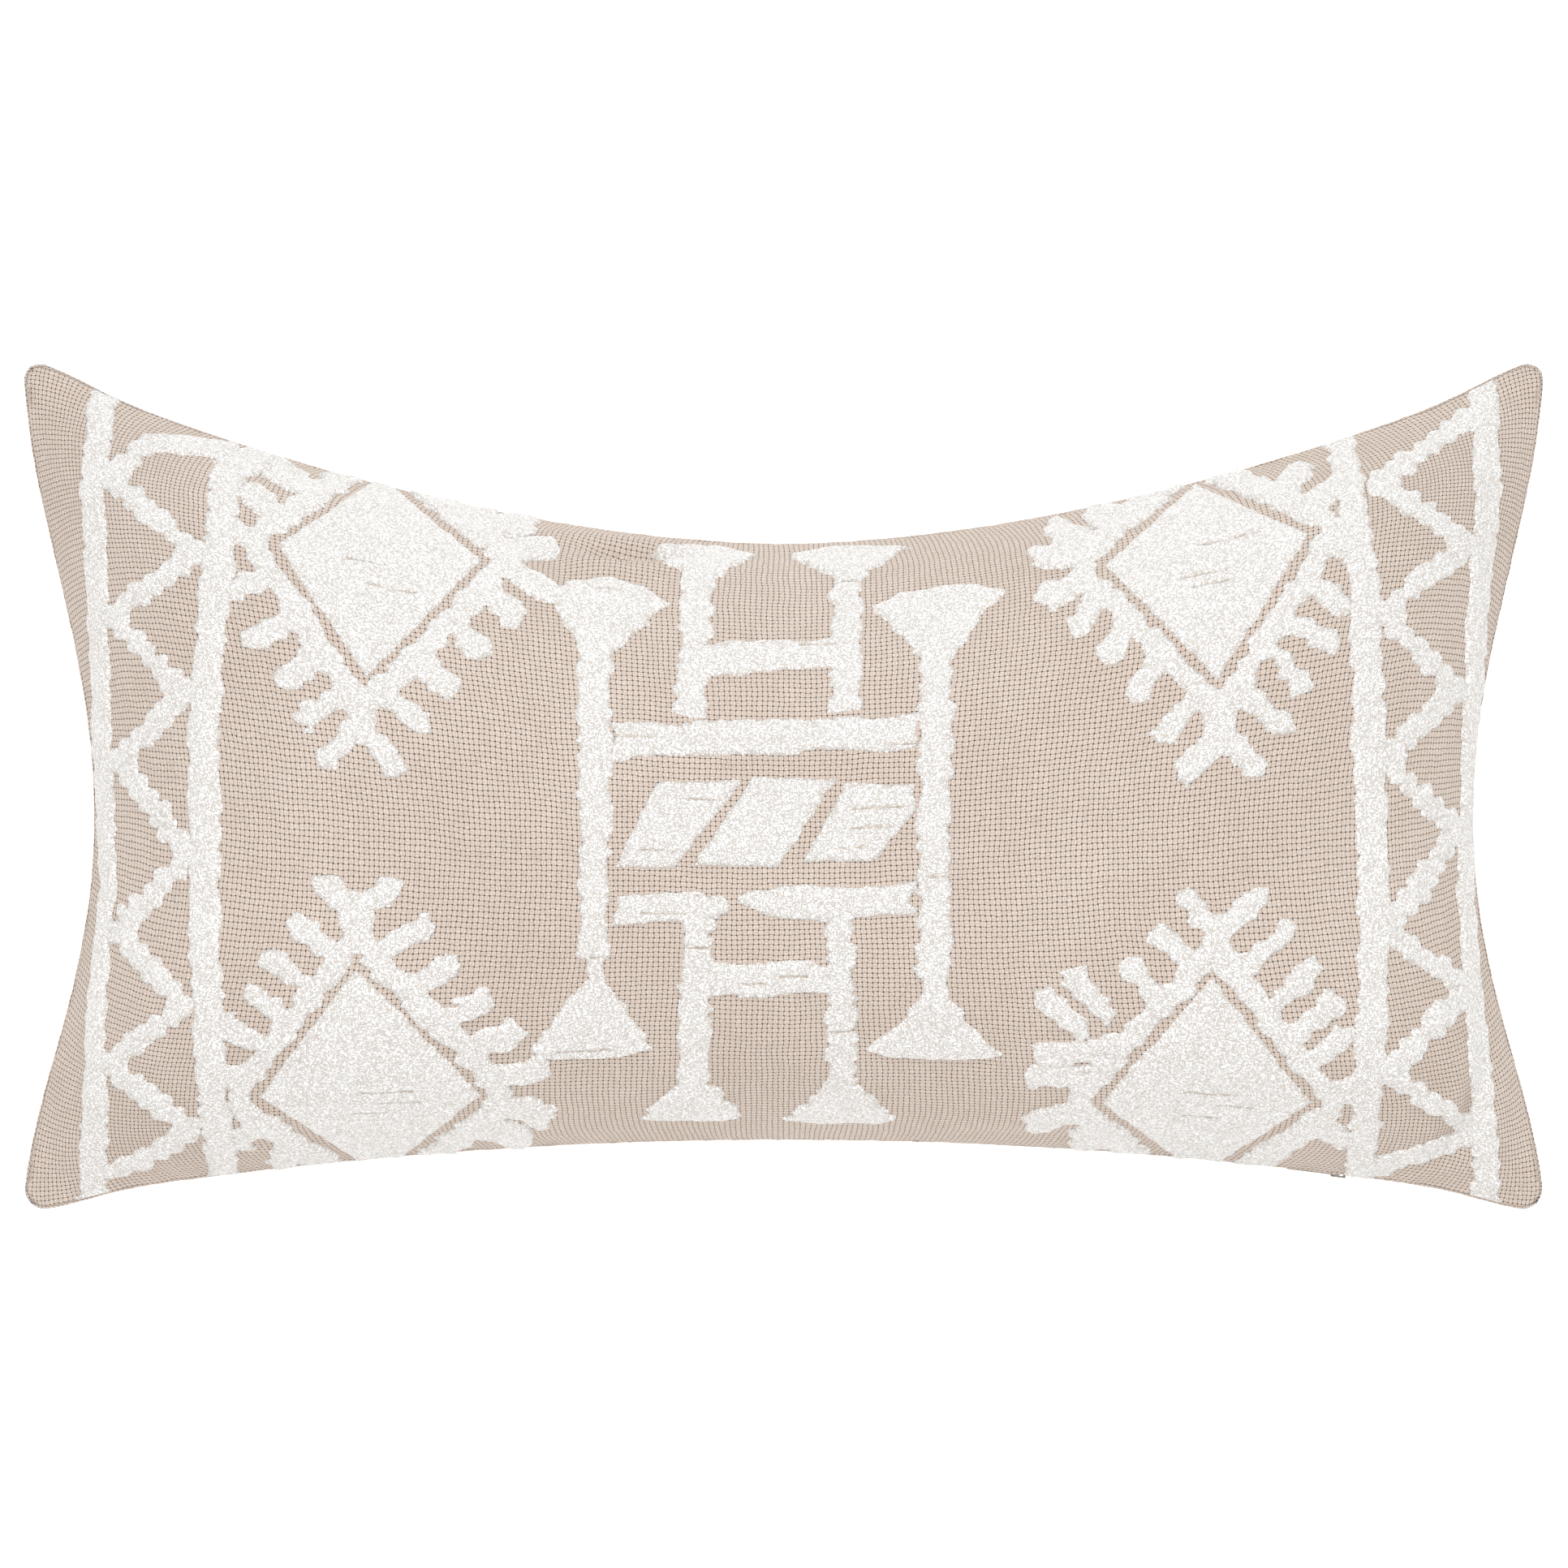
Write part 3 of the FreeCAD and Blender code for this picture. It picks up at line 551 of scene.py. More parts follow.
def fibre_fill(name):
    """Lofted fibre: soft clumps with crossing strands."""
    n = Nodes(name)
    flat = n.cloth()
    clump = n.noise(flat, 0.05, 4.0, 0.6)
    both = n.math("MAXIMUM", *(
        n.noise(n.vector("MULTIPLY", flat, stretch), 0.9, 4.0, 0.7)
        for stretch in ((0.25, 1.6, 1.0), (1.5, 0.3, 1.0))))
    tone = n.math("ADD", clump, n.times(both, 0.4), clamp=True)
    colour = n.mix(tone, rgb(206, 205, 202), rgb(243, 243, 241))
    normal = n.bump(n.plus(clump, both), 0.0012)
    return n.finish(colour, 0.95, normal, Sheen_Weight=0.3, Specular_IOR_Level=0.1)


def satin_metal(name, light, dark):
    """Cast and tumbled metal with fine wear."""
    n = Nodes(name)
    place = n.local()
    wear, grain = n.noise(place, 900.0, 3.0, 0.6), n.noise(place, 5200.0, 2.0, 0.6)
    colour = n.mix(n.span(wear, 0.35, 0.7), dark, light)
    normal = n.bump(n.plus(wear, n.times(grain, 0.4)), 0.00002)
    return n.finish(colour, n.scaled(grain, 0.22, 0.24), normal, Metallic=1.0)


def nylon(name, light, dark):
    """Drawn nylon with a faint grain."""
    n = Nodes(name)
    grain = n.noise(n.local(), 1400.0, 3.0, 0.6)
    colour, roughness = n.mix(grain, dark, light), n.scaled(grain, 0.2, 0.36)
    return n.finish(colour, roughness, n.bump(grain, 0.00005), Specular_IOR_Level=0.45)


BEIGE_LIGHT = rgb(241, 226, 215)
BEIGE_DARK = rgb(201, 182, 166)
# The gap colour is painted shade for the weave's grooves and pinholes.
BEIGE_GAP_SHADE = rgb(100, 78, 60)
COVER = basket_weave("cover_weave", 2.15, BEIGE_LIGHT, BEIGE_DARK, BEIGE_GAP_SHADE, 0.00042)
# The yarn's dark colour serves its fibres and the painted shade in its grooves.
YARN = tufted("embroidery_yarn", rgb(255, 254, 253), rgb(186, 172, 156), rgb(206, 188, 168))
TAPE = plain_weave("zip_tape_weave", 0.7, rgb(214, 196, 178), rgb(170, 150, 130), 0.00012)
COIL = nylon("coil_nylon", rgb(206, 188, 168), rgb(176, 156, 136))
METAL = satin_metal("zip_metal", rgb(168, 163, 156), rgb(126, 121, 114))
THREAD = plain_weave("seam_thread_twist", 0.35, rgb(222, 204, 186), rgb(170, 148, 126), 0.00006)
LABEL = plain_weave("label_satin", 0.3, rgb(244, 243, 240), rgb(224, 222, 218), 0.00003, 0.5)
INSERT = plain_weave("insert_cotton", 0.55, rgb(246, 245, 241), rgb(216, 214, 208), 0.0001)
FILL = fibre_fill("fibre_loft")


# ---- making pieces

def shown(name, mesh, material, node, body="pillow"):
    """Puts a mesh into the scene on its body, for its CAD node."""
    mesh.polygons.foreach_set("use_smooth", [True] * len(mesh.polygons))
    mesh.materials.clear()
    mesh.materials.append(material)
    thing = bpy.data.objects.new(name, mesh)
    bpy.context.scene.collection.objects.link(thing)
    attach(thing, body)
    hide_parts(node)
    return thing


def piece(name, points, faces, material, slot, node, cloth, **marks):
    """A closed mesh from points in millimetres, counted from the seam plane, and its flat places."""
    mesh = bpy.data.meshes.new(name)
    points[:, 2] += SEAM_Z
    mesh.from_pydata((points / 1000).tolist(), [], faces if isinstance(faces, list) else faces.tolist())
    flat = mesh.attributes.new("cloth", "FLOAT_VECTOR", "POINT")
    flat.data.foreach_set("vector", np.asarray(cloth, np.float32).ravel())
    for key, values in marks.items():
        mark = mesh.attributes.new(key, "FLOAT", "POINT")
        mark.data.foreach_set("value", np.asarray(values, np.float32))
    shell = bmesh.new()
    shell.from_mesh(mesh)
    bmesh.ops.recalc_face_normals(shell, faces=shell.faces[:])
    shell.to_mesh(mesh)
    shell.free()
    return shown(name, mesh, material, node)


def rim_loop(ids):
    """The border of a grid of point numbers, once round."""
    return np.concatenate([ids[0, :-1], ids[:-1, -1], ids[-1, :0:-1], ids[:0:-1, 0]])


def bands(loops):
    """Faces between each loop and the next."""
    return np.concatenate([
        np.stack([low, np.roll(low, -1), np.roll(high, -1), high], axis=-1)
        for low, high in zip(loops, loops[1:])])


def two_skins(outer, inner, rings=()):
    """Points and faces of a sheet: two grids of points, joined round their rims through the rings."""
    ids = np.arange(outer[..., 0].size).reshape(outer.shape[:2])
    loop = rim_loop(ids)
    loops = [loop] + [ids.size + k * len(loop) + np.arange(len(loop)) for k in range(len(rings))]
    inner_ids = ids + ids.size + len(rings) * len(loop)
    loops.append(rim_loop(inner_ids))
    points = np.concatenate([outer.reshape(-1, 3), *rings, inner.reshape(-1, 3)])
    return points, np.concatenate([grid_faces(ids), bands(loops), grid_faces(inner_ids)[:, ::-1]])


# The folded edge of a panel, as (inset, height) from the seam line, ending on the hem's inner face
RIM_SECTION = ((0.75, 1.05), (0.22, 0.82), (0.0, 0.42), (0.3, 0.1), (1.2, 0.03))
RIM_TRAVEL = (0.8, 1.4, 1.9, 2.4, 3.3, 8.0, 9.0, 14.0)
HEM_INSET = 7.5
HEM_HEIGHTS = (0.03, 1.05)
HEM_BACK = (2.3, 1.15)
GRID_INSET = 1.6
EDGE_FUZZ = 0.22
AT_EDGE = 1e-6


def cover_panel(side, cells, name, node):
    """One side of the cover: cloth of real thickness whose edge folds in at the seam."""
    count_u, count_v = cells
    u_row = np.linspace(GRID_INSET - FLAT_HALF_LENGTH, FLAT_HALF_LENGTH - GRID_INSET, count_u + 1)
    v_row = np.linspace(GRID_INSET - FLAT_HALF_WIDTH, FLAT_HALF_WIDTH - GRID_INSET, count_v + 1)
    u, v = np.meshgrid(u_row, v_row)
    outer, normal = side.place(u, v)
    height = np.abs(outer[..., 2])
    depth = np.minimum(CLOTH, 0.6 * height)
    inner = outer - normal * depth[..., None]
    loop = rim_loop(np.arange(u.size).reshape(u.shape))
    rim_u, rim_v = u.ravel()[loop], v.ravel()[loop]
    rim_u = np.where(np.abs(rim_u) > u_row[-1] - AT_EDGE, np.sign(rim_u) * FLAT_HALF_LENGTH, rim_u)
    rim_v = np.where(np.abs(rim_v) > v_row[-1] - AT_EDGE, np.sign(rim_v) * FLAT_HALF_WIDTH, rim_v)
    seam = side.place(rim_u, rim_v)[0]
    open_share = slot_share(rim_u) * (rim_v < 0) * (np.abs(rim_v) > FLAT_HALF_WIDTH - AT_EDGE)
    seam[:, 2] = side.hand * SLOT_HALF_HEIGHT * open_share
    s, t = stations(rim_u / FLAT_HALF_LENGTH, rim_v / FLAT_HALF_WIDTH)
    scale = np.clip((height.ravel()[loop] - SLOT_HALF_HEIGHT * open_share) / 1.4, 0.3, 1.0)
    hem = HEM_INSET + (LIP_DEPTH - HEM_INSET) * open_share
    fuzz = EDGE_FUZZ * noise(rim_u + 3 * rim_v, rim_v - rim_u, 3.1, side.seed + 20)
    section = [(inset + fuzz * (inset < 1.0), rise * scale) for inset, rise in RIM_SECTION]
    section += [(hem, HEM_HEIGHTS[0]), (hem, HEM_HEIGHTS[1] * scale), (HEM_BACK[0], HEM_BACK[1] * scale)]
    rings = [
        xyz(seam[:, 0] - inset * s, seam[:, 1] - inset * t, seam[:, 2] + side.hand * rise)
        for inset, rise in section]
    points, faces = two_skins(outer, inner, rings)
    flat = xyz(u, v).reshape(-1, 3)
    rim_flat = [xyz(rim_u, rim_v) + travel * xyz(s, t) for travel in RIM_TRAVEL]
    return piece(name, points, faces, COVER, "cover_cloth", node, np.concatenate([flat, *rim_flat, flat]))


cover_front = cover_panel(FRONT, (276, 148), "cover_front_cloth", "cover_front_panel")
cover_back = cover_panel(BACK, (220, 118), "cover_back_cloth", "cover_back_panel")


# ---- embroidery, drawn as seen from above

FAR = 1e3
MELT = 1.6
VIEW_DISTANCE = 3665.6


def off_line(x, y, start, end):
    """Distance to a straight line between two points, and how far along it the nearest point is."""
    (ax, ay), (bx, by) = start, end
    dx, dy = bx - ax, by - ay
    along = np.clip(((x - ax) * dx + (y - ay) * dy) / (dx * dx + dy * dy), 0, 1)
    return np.hypot(x - ax - along * dx, y - ay - along * dy), along


def stroke(x, y, path, widths):
    """Distance to a run of yarn along a path with half its width at each point, negative inside it."""
    best = FAR
    for start, end, wide_a, wide_b in zip(path, path[1:], widths, widths[1:]):
        away, along = off_line(x, y, start, end)
        best = np.minimum(best, away - wide_a - (wide_b - wide_a) * along)
    return best


def polygon(x, y, corners):
    """Distance to a polygon's border, negative inside it."""
    best, sign = FAR, np.ones(x.shape)
    for (ax, ay), (bx, by) in zip(corners, corners[1:] + corners[:1]):
        best = np.minimum(best, off_line(x, y, (ax, ay), (bx, by))[0])
        spans = (ay > y) != (by > y)
        rise = by - ay if by != ay else 1e-9
        sign = np.where(spans & (x < (bx - ax) * (y - ay) / rise + ax), -sign, sign)
    return sign * best


def joined(*fields):
    """Smooth union of several shapes."""
    total = fields[0]
    for field in fields[1:]:
        mix = np.clip(0.5 + 0.5 * (field - total) / MELT, 0, 1)
        total = field * (1 - mix) + total * mix - MELT * mix * (1 - mix)
    return total


def stepped(y, pitch, strength):
    """Rows of stitches: places across the rows are drawn towards the rows' middles."""
    return y - strength * pitch / (2 * math.pi) * np.sin(2 * math.pi * y / pitch)


def largest_parts(cells, least):
    """The cells without islands of fewer than the least number of cells."""
    labels = (np.arange(cells.size).reshape(cells.shape) + 1) * cells
    while True:
        framed = np.pad(labels, 1)
        around = (framed[2:, 1:-1], framed[:-2, 1:-1], framed[1:-1, 2:], framed[1:-1, :-2])
        spread = np.max([labels, *around], axis=0) * cells
        if (spread == labels).all():
            break
        labels = spread
    names, counts = np.unique(labels[cells], return_counts=True)
    return np.isin(labels, names[counts >= least])


def seen_from_above(u, v):
    """Where the camera sees a place of the flat cloth, in mm at the seam's height."""
    place = FRONT.place(u, v)[0]
    seen = place[..., :2] * (VIEW_DISTANCE / (VIEW_DISTANCE - place[..., 2:]))
    return seen[..., 0], seen[..., 1]


COARSE_CELL = 4.0
COARSE_U, COARSE_V = np.meshgrid(
    np.linspace(-FLAT_HALF_LENGTH, FLAT_HALF_LENGTH, 166),
    np.linspace(-FLAT_HALF_WIDTH, FLAT_HALF_WIDTH, 90))
COARSE_X, COARSE_Y = seen_from_above(COARSE_U, COARSE_V)

# How an outline strays, as (reach, pitch or pitches) of three noises
EDGE_ROUGH = {
    "bar": ((0.8, 9.0), (1.5, (14.0, 3.2)), (0.5, 1.5)),
    "fine": ((0.8, 6.0), (0.9, (5.0, 2.6)), (0.4, 1.4)),
    "leaf": ((1.5, 6.5), (1.6, (6.0, 2.8)), (0.55, 1.4)),
    "rows": ((0.8, 8.0), (1.8, (9.0, 2.6)), (0.4, 1.5)),
    "smooth": ((0.4, 9.0), (0.5, (6.0, 2.6)), (0.35, 1.4)),
}


def flat_box(outline, margin):
    """The part of the flat cloth that lies under an outline seen from above."""
    xs, ys = zip(*outline)
    wide = np.abs(COARSE_X - (min(xs) + max(xs)) / 2) < (max(xs) - min(xs)) / 2 + margin
    tall = np.abs(COARSE_Y - (min(ys) + max(ys)) / 2) < (max(ys) - min(ys)) / 2 + margin
    u, v = COARSE_U[wide & tall], COARSE_V[wide & tall]
    return u.min() - COARSE_CELL, u.max() + COARSE_CELL, v.min() - COARSE_CELL, v.max() + COARSE_CELL


def embroidered(node, shape, outline, margin, edge, seed, slits=()):
    """A closed piece of raised yarn: shape gives the distance to its outline, seen from above."""
    low_u, high_u, low_v, high_v = flat_box(outline, margin)
    u, v = np.meshgrid(np.arange(low_u, high_u, YARN_CELL), np.arange(low_v, high_v, YARN_CELL))
    distance = shape(*seen_from_above(u, v))
    slope_v, slope_u = np.gradient(distance, YARN_CELL)
    distance /= np.clip(np.hypot(slope_u, slope_v), 0.35, 1.0)
    for step, (size, pitch) in enumerate(EDGE_ROUGH[edge]):
        distance = distance + size * noise(u, v, pitch, seed + step)
    distance = np.maximum(distance, np.maximum(np.abs(v) - SEAM_CLEAR, np.abs(u) - SIDE_CLEAR))
    inside = distance < 0.2 * YARN_CELL
    cells = inside[:-1, :-1] & inside[:-1, 1:] & inside[1:, :-1] & inside[1:, 1:]
    cells = largest_parts(cells, LEAST_CELLS)
    touching = np.zeros((u.shape[0] + 1, u.shape[1] + 1), int)
    touching[1:-1, 1:-1] = cells
    around = touching[:-1, :-1] + touching[:-1, 1:] + touching[1:, :-1] + touching[1:, 1:]
    used = around > 0
    rim = used & (around < 4)
    slope_v, slope_u = np.gradient(distance, YARN_CELL)
    steep = np.maximum(slope_u ** 2 + slope_v ** 2, 0.25)
    u, v = (
        place + np.clip(-distance * slope / steep, -0.5 * YARN_CELL, 0.5 * YARN_CELL) * rim
        for place, slope in ((u, slope_u), (v, slope_v)))
    depth = np.maximum(-distance, 0)
    bare = np.zeros(u.shape)
    for slit_u, slit_v, half_length, half_width in slits:
        wavy = slit_v + 0.45 * noise(u, v * 0, 7.0, seed + 5)
        away = np.hypot(np.maximum(np.abs(u - slit_u) - 0.8 * half_length, 0), v - wavy)
        ragged = 0.75 + 0.5 * noise(u, v, 2.4, seed + 9)
        bare = np.maximum(bare, ragged * (1 - smoothstep((away - 0.1) / (0.8 * half_width))))
    height = YARN_HEIGHT * (1 - np.exp(-depth / 1.15))
    height *= 1 + 0.10 * noise(u, v, 7.0, seed + 6)
    fluff = 0.11 * noise(u, v, 2.1, seed + 7) + 0.06 * noise(u, v, 1.3, seed + 8)
    height += fluff * (1 - np.exp(-depth / 0.8))
    height = np.where(rim, RIM_HEIGHT, np.maximum(height * (1 - 0.8 * bare), SLIT_HEIGHT))
    count = int(used.sum())
    numbers = np.full(u.shape, -1)
    numbers[used] = np.arange(count)
    flat_u, flat_v = u[used], v[used]
    top = FRONT.place(flat_u, flat_v, height[used])[0]
    bottom = FRONT.place(flat_u, flat_v, np.full(count, -YARN_SUNK))[0]
    rows, columns = np.nonzero(cells)
    corners = [numbers[rows + dr, columns + dc] for dr, dc in ((0, 0), (0, 1), (1, 1), (1, 0))]
    faces = np.stack(corners, axis=-1)
    sides = []
    padded = np.pad(cells, 1)
    for first, (dr, dc) in enumerate(((-1, 0), (0, 1), (1, 0), (0, -1))):
        bare_side = ~padded[rows + 1 + dr, columns + 1 + dc]
        a, b = corners[first][bare_side], corners[(first + 1) % 4][bare_side]
        sides.append(np.stack([b, a, a + count, b + count], axis=-1))
    faces = np.concatenate([faces, faces[:, ::-1] + count] + sides)
    cloth = np.concatenate([xyz(flat_u, flat_v)] * 2)
    points, bare = np.concatenate([top, bottom]), np.concatenate([bare[used]] * 2)
    return piece(node + "_yarn", points, faces, YARN, "embroidery_yarn", node, cloth, bare=bare)


# Middle lines of the side borders
BORDERS = {
    "left": {
        "outer_bar": [
            (-283, 168), (-287.5, 159), (-290.5, 120.5), (-288.5, 79), (-284, -42.5), (-289.5, -97.5),
            (-289.5, -128), (-291, -166.5), (-289.5, -177.5),
        ],
        "inner_bar": [
            (-214, 144), (-219.5, 138), (-234.5, 131), (-238.5, 87), (-244, 33), (-244, -54.5),
            (-242, -99.5), (-241, -125), (-236, -161.5), (-233.5, -169.5),
        ],
        "zigzag": [
            (-232, 140.5), (-267, 143.5), (-284, 129.5), (-247, 97), (-283, 71), (-251.5, 38.5),
            (-279.5, 10), (-250, -30), (-280, -62.5), (-252, -94), (-284.5, -117.5), (-249, -146),
            (-283.5, -164.5),
        ],
    },
    "right": {
        "outer_bar": [
            (292, 171), (294.5, 161), (296.5, 122), (291.5, 71.5), (286.5, -42.5), (290.5, -96),
            (294.5, -131), (295.5, -168.5), (294, -178),
        ],
        "inner_bar": [
            (230, 149), (235, 142), (245, 79.5), (245.5, 40), (249, -61), (247, -105.5), (245.5, -138),
            (242.5, -163), (241, -171),
        ],
        "zigzag": [
            (291.5, 156.5), (250.5, 126.5), (289.5, 101), (252.5, 73), (282.5, 39.5), (253, 9.5),
            (283, -20), (254, -61.5), (287, -86), (254, -122), (293, -147), (246.5, -162),
        ],
    },
}
BAR_HALVES = {"outer_bar": (6.4, 6.4, 5.2, 4.2, 3.4, 3.8, 5.0, 6.4, 6.4), "inner_bar": (6.6,) * 10}
ROW = 5.0
ROW_HALF = 3.2
THREAD_HALF = 1.5

# Corner motifs: the groove round the diamond, and each stem or leaflet from end to end
CORNERS = {
    "top_left": {
        "channel": [(-215.5, 101), (-170, 131), (-125, 94), (-176, 42)],
        "stem": (-176.5, 37, -177.5, 21.5),
        "leaflets": [
            (-210, 67, -223, 62.5), (-197, 53.5, -209.5, 44.5), (-187, 37.5, -200.5, 27.5),
            (-179, 24.5, -191.5, 10.5), (-177, 24.5, -164, 8.5), (-166, 36, -153, 26.5),
            (-154, 50, -141, 41.5), (-140, 68.5, -129, 58.5), (-125, 82, -114, 71.5),
            (-116.5, 91, -100.5, 81.5), (-118, 97.5, -99, 99), (-128, 107, -109, 110),
            (-142.5, 116, -125, 117.5), (-215.5, 87.5, -230, 82), (-217, 101, -232.5, 106.5),
            (-209.5, 112, -224.5, 121.5), (-196, 121.5, -213.5, 132),
        ],
    },
    "top_right": {
        "channel": [(133, 92), (173, 127.5), (223.5, 106), (183, 41)],
        "stem": (183, 37, 184, 20.5),
        "leaflets": [
            (131.5, 78.5, 124.5, 67), (143.5, 67, 138, 55.5), (158.5, 53.5, 149.5, 39.5),
            (170.5, 34, 160.5, 22), (183.5, 22, 171, 6.5), (185, 22, 198, 6.5),
            (196, 36, 209.5, 25.5), (208, 53.5, 217.5, 42.5), (216.5, 67, 229.5, 60),
            (223.5, 84, 234.5, 75), (129.5, 87.5, 112, 78.5), (128, 95, 108, 95.5),
            (131.5, 101, 115, 106.5), (145.5, 112, 132, 112), (216.5, 112, 230.5, 123.5),
            (203, 118, 217.5, 130), (226, 98.5, 238.5, 102.5),
        ],
    },
    "bottom_left": {
        "channel": [(-223, -132), (-180, -75), (-125, -131), (-170, -166)],
        "stem": (-179.5, -52.5, -179.5, -74),
        "leaflets": [
            (-183.5, -54.5, -192.5, -43), (-176, -52.5, -165, -44),
            (-192.5, -68.5, -203.5, -60), (-166.5, -69, -152, -60),
            (-200.5, -83.5, -216.5, -74.5), (-156, -85.5, -140.5, -77),
            (-211, -97, -223, -88.5), (-143.5, -99, -128, -92), (-221, -109.5, -233.5, -101),
            (-130, -110.5, -115, -105.5), (-120.5, -123.5, -104, -120),
            (-224, -123, -235, -123.5), (-122, -131, -102.5, -139.5),
            (-133.5, -142.5, -111, -148), (-217, -140, -227.5, -148),
            (-200, -149, -212, -158),
        ],
    },
    "bottom_right": {
        "channel": [(131.5, -134), (180.5, -79), (224, -134.5), (175, -166.5)],
        "stem": (182.5, -62, 181.5, -78),
        "leaflets": [
            (181, -63, 170, -48), (185.5, -63, 199, -47), (172.5, -78.5, 159, -64),
            (196, -76.5, 211, -62.5), (158.5, -92, 146.5, -78), (207, -92, 222, -78),
            (135.5, -97, 123, -82), (125, -102.5, 111, -91.5), (217.5, -104, 230.5, -93),
            (224, -116, 235.5, -105.5), (139, -110, 111, -113.5),
            (129.5, -123.5, 106.5, -123), (128, -136, 106.5, -141.5),
            (227.5, -130.5, 238.5, -128.5), (224, -143.5, 234.5, -148),
            (139, -147, 124.5, -149),
        ],
    },
}
LEAF_HALVES = (4.5, 5.4)
STEM_HALVES = (7.0, 7.0)
STITCH_ROW, STITCH_PULL = 4.6, 0.6
CHANNEL_HALF = 1.6
FRAME_BAND = 12.0
# Slits where the cloth shows through: middle on the flat cloth, half length, half width
CORNER_SLITS = {
    "top_left": ((-164, 105, 9, 0.7), (-154, 93, 12, 0.7)),
    "top_right": ((174, 114.5, 15, 0.8), (164, 97, 12, 0.8), (167.5, 91.5, 9, 0.7)),
    "bottom_left": ((-157.5, -113, 14, 0.8), (-151.5, -120.5, 10, 0.8), (-163.5, -127.5, 8, 0.7)),
    "bottom_right": ((169, -113, 13, 0.8), (178, -121, 9, 0.8), (165.5, -130, 9, 0.7)),
}


def leafy_frame(channel, stem, leaflets):
    """The band round a corner's diamond, with its leaflets and its forked tip."""
    def shape(x, y):
        rows = stepped(y, STITCH_ROW, STITCH_PULL)
        leaves = [stroke(x, rows, (leaf[:2], leaf[2:]), LEAF_HALVES) for leaf in leaflets]
        ring = polygon(x, y, channel)
        whole = joined(ring - FRAME_BAND, stroke(x, y, (stem[:2], stem[2:]), STEM_HALVES), *leaves)
        return np.maximum(whole, CHANNEL_HALF - ring)

    return shape


# Outlines of the centre's runs, after how their edges stray
CENTRE_RUNS = {
    "left_column": ("bar", [
        [
            (-86.5, -74), (-73, -74), (-72.5, 54), (-48, 76), (-58.5, 82.5), (-73.5, 86.5), (-89, 85.5),
            (-99, 82), (-86.5, 55.5),
        ],
        [
            (-83.5, -70.5), (-75.5, -70.5), (-75, -81.5), (-55, -111), (-66, -114.5), (-81.5, -116),
            (-97, -115.5), (-107.5, -112.5), (-83, -81.5),
        ],
    ]),
    "right_column": ("bar", [
        [
            (56, -82), (70, -82), (71.5, 54.5), (92.5, 81), (81.5, 84), (65, 83.5), (48.5, 80),
            (37.5, 74.5), (57, 53),
        ],
        [
            (57, -77), (68, -77), (69, -91), (91, -113.5), (79.5, -116), (63, -117), (46, -115.5),
            (34.5, -112), (58, -91),
        ],
    ]),
    "upper_bar": ("bar", [
        [(-72, 10), (56.5, 14.5), (57, 29), (-72.5, 25)],
    ]),
    "lower_bar": ("rows", [
        [(-71.5, -59), (-26.5, -58.5), (-22.5, -52), (-26.5, -46.5), (-71, -46.5)],
        [(-19.5, -50.5), (-8, -56), (20, -59), (55, -54), (55, -42), (10, -43.5), (-17.5, -44.5)],
    ]),
    "blocks": ("smooth", [
        [(-54, 0.5), (-17, 1.5), (-46, -35.5), (-71, -35)],
        [(-13, 2.5), (22, 1.5), (-2, -35), (-38.5, -34.5)],
        [(26, 0.5), (55, 0), (55.5, -11), (38.5, -32.5), (8, -33)],
    ]),
    "upper_ladder": ("rows", [
        [
            (-46.5, 29.5), (-33, 28.5), (-28.5, 87), (-11.5, 96), (-21, 98.5), (-35.5, 99.5), (-50, 101),
            (-60.5, 100), (-42, 88.5),
        ],
        [
            (19.5, 30), (32.5, 30.5), (33.5, 87), (52, 99), (41, 100), (26, 99.5), (11, 98), (1, 96),
            (20, 86),
        ],
        [(-34.5, 46.5), (26.5, 48), (27, 60.5), (-34.5, 59.5)],
    ]),
    "lower_ladder": ("rows", [
        [
            (-42, -55.5), (-29, -55.5), (-31.5, -125), (-16, -139.5), (-25, -141), (-38, -141.5),
            (-51, -141.5), (-60, -140.5), (-45, -125.5),
        ],
        [
            (18, -55), (29.5, -55), (31, -125.5), (47, -141), (37.5, -142), (24, -142), (10, -141.5),
            (1, -140.5), (18.5, -125),
        ],
        [(-36, -89), (24.5, -88.5), (24, -75.5), (-36, -75.5)],
    ]),
}
RUN_SLITS = {
    "left_column": ((-72, -49, 9, 0.7), (-68.5, 114, 6, 0.6), (-79, -92.5, 14, 0.7)),
    "right_column": ((66, -15.5, 8, 0.8),),
    "upper_bar": ((-61, 42, 10, 0.7), (49, 39.5, 8, 0.6)),
    "lower_bar": ((-50, -30.5, 12, 0.6),),
    "blocks": (
        (-33, 17.5, 8, 0.5), (40, 13.5, 14, 0.8), (36, 5.5, 10, 0.8), (-52, -4.5, 9, 0.6),
        (28, -2.5, 8, 0.7)),
    "upper_ladder": ((-27, 86.5, 6, 0.7), (13.5, 87.5, 9, 0.8), (25.5, 127.5, 6, 0.7)),
    "lower_ladder": ((-12, -60, 6, 1.0), (4, -57, 7, 0.9), (-34, -44.5, 7, 0.8), (23.5, -83, 7, 0.8)),
}


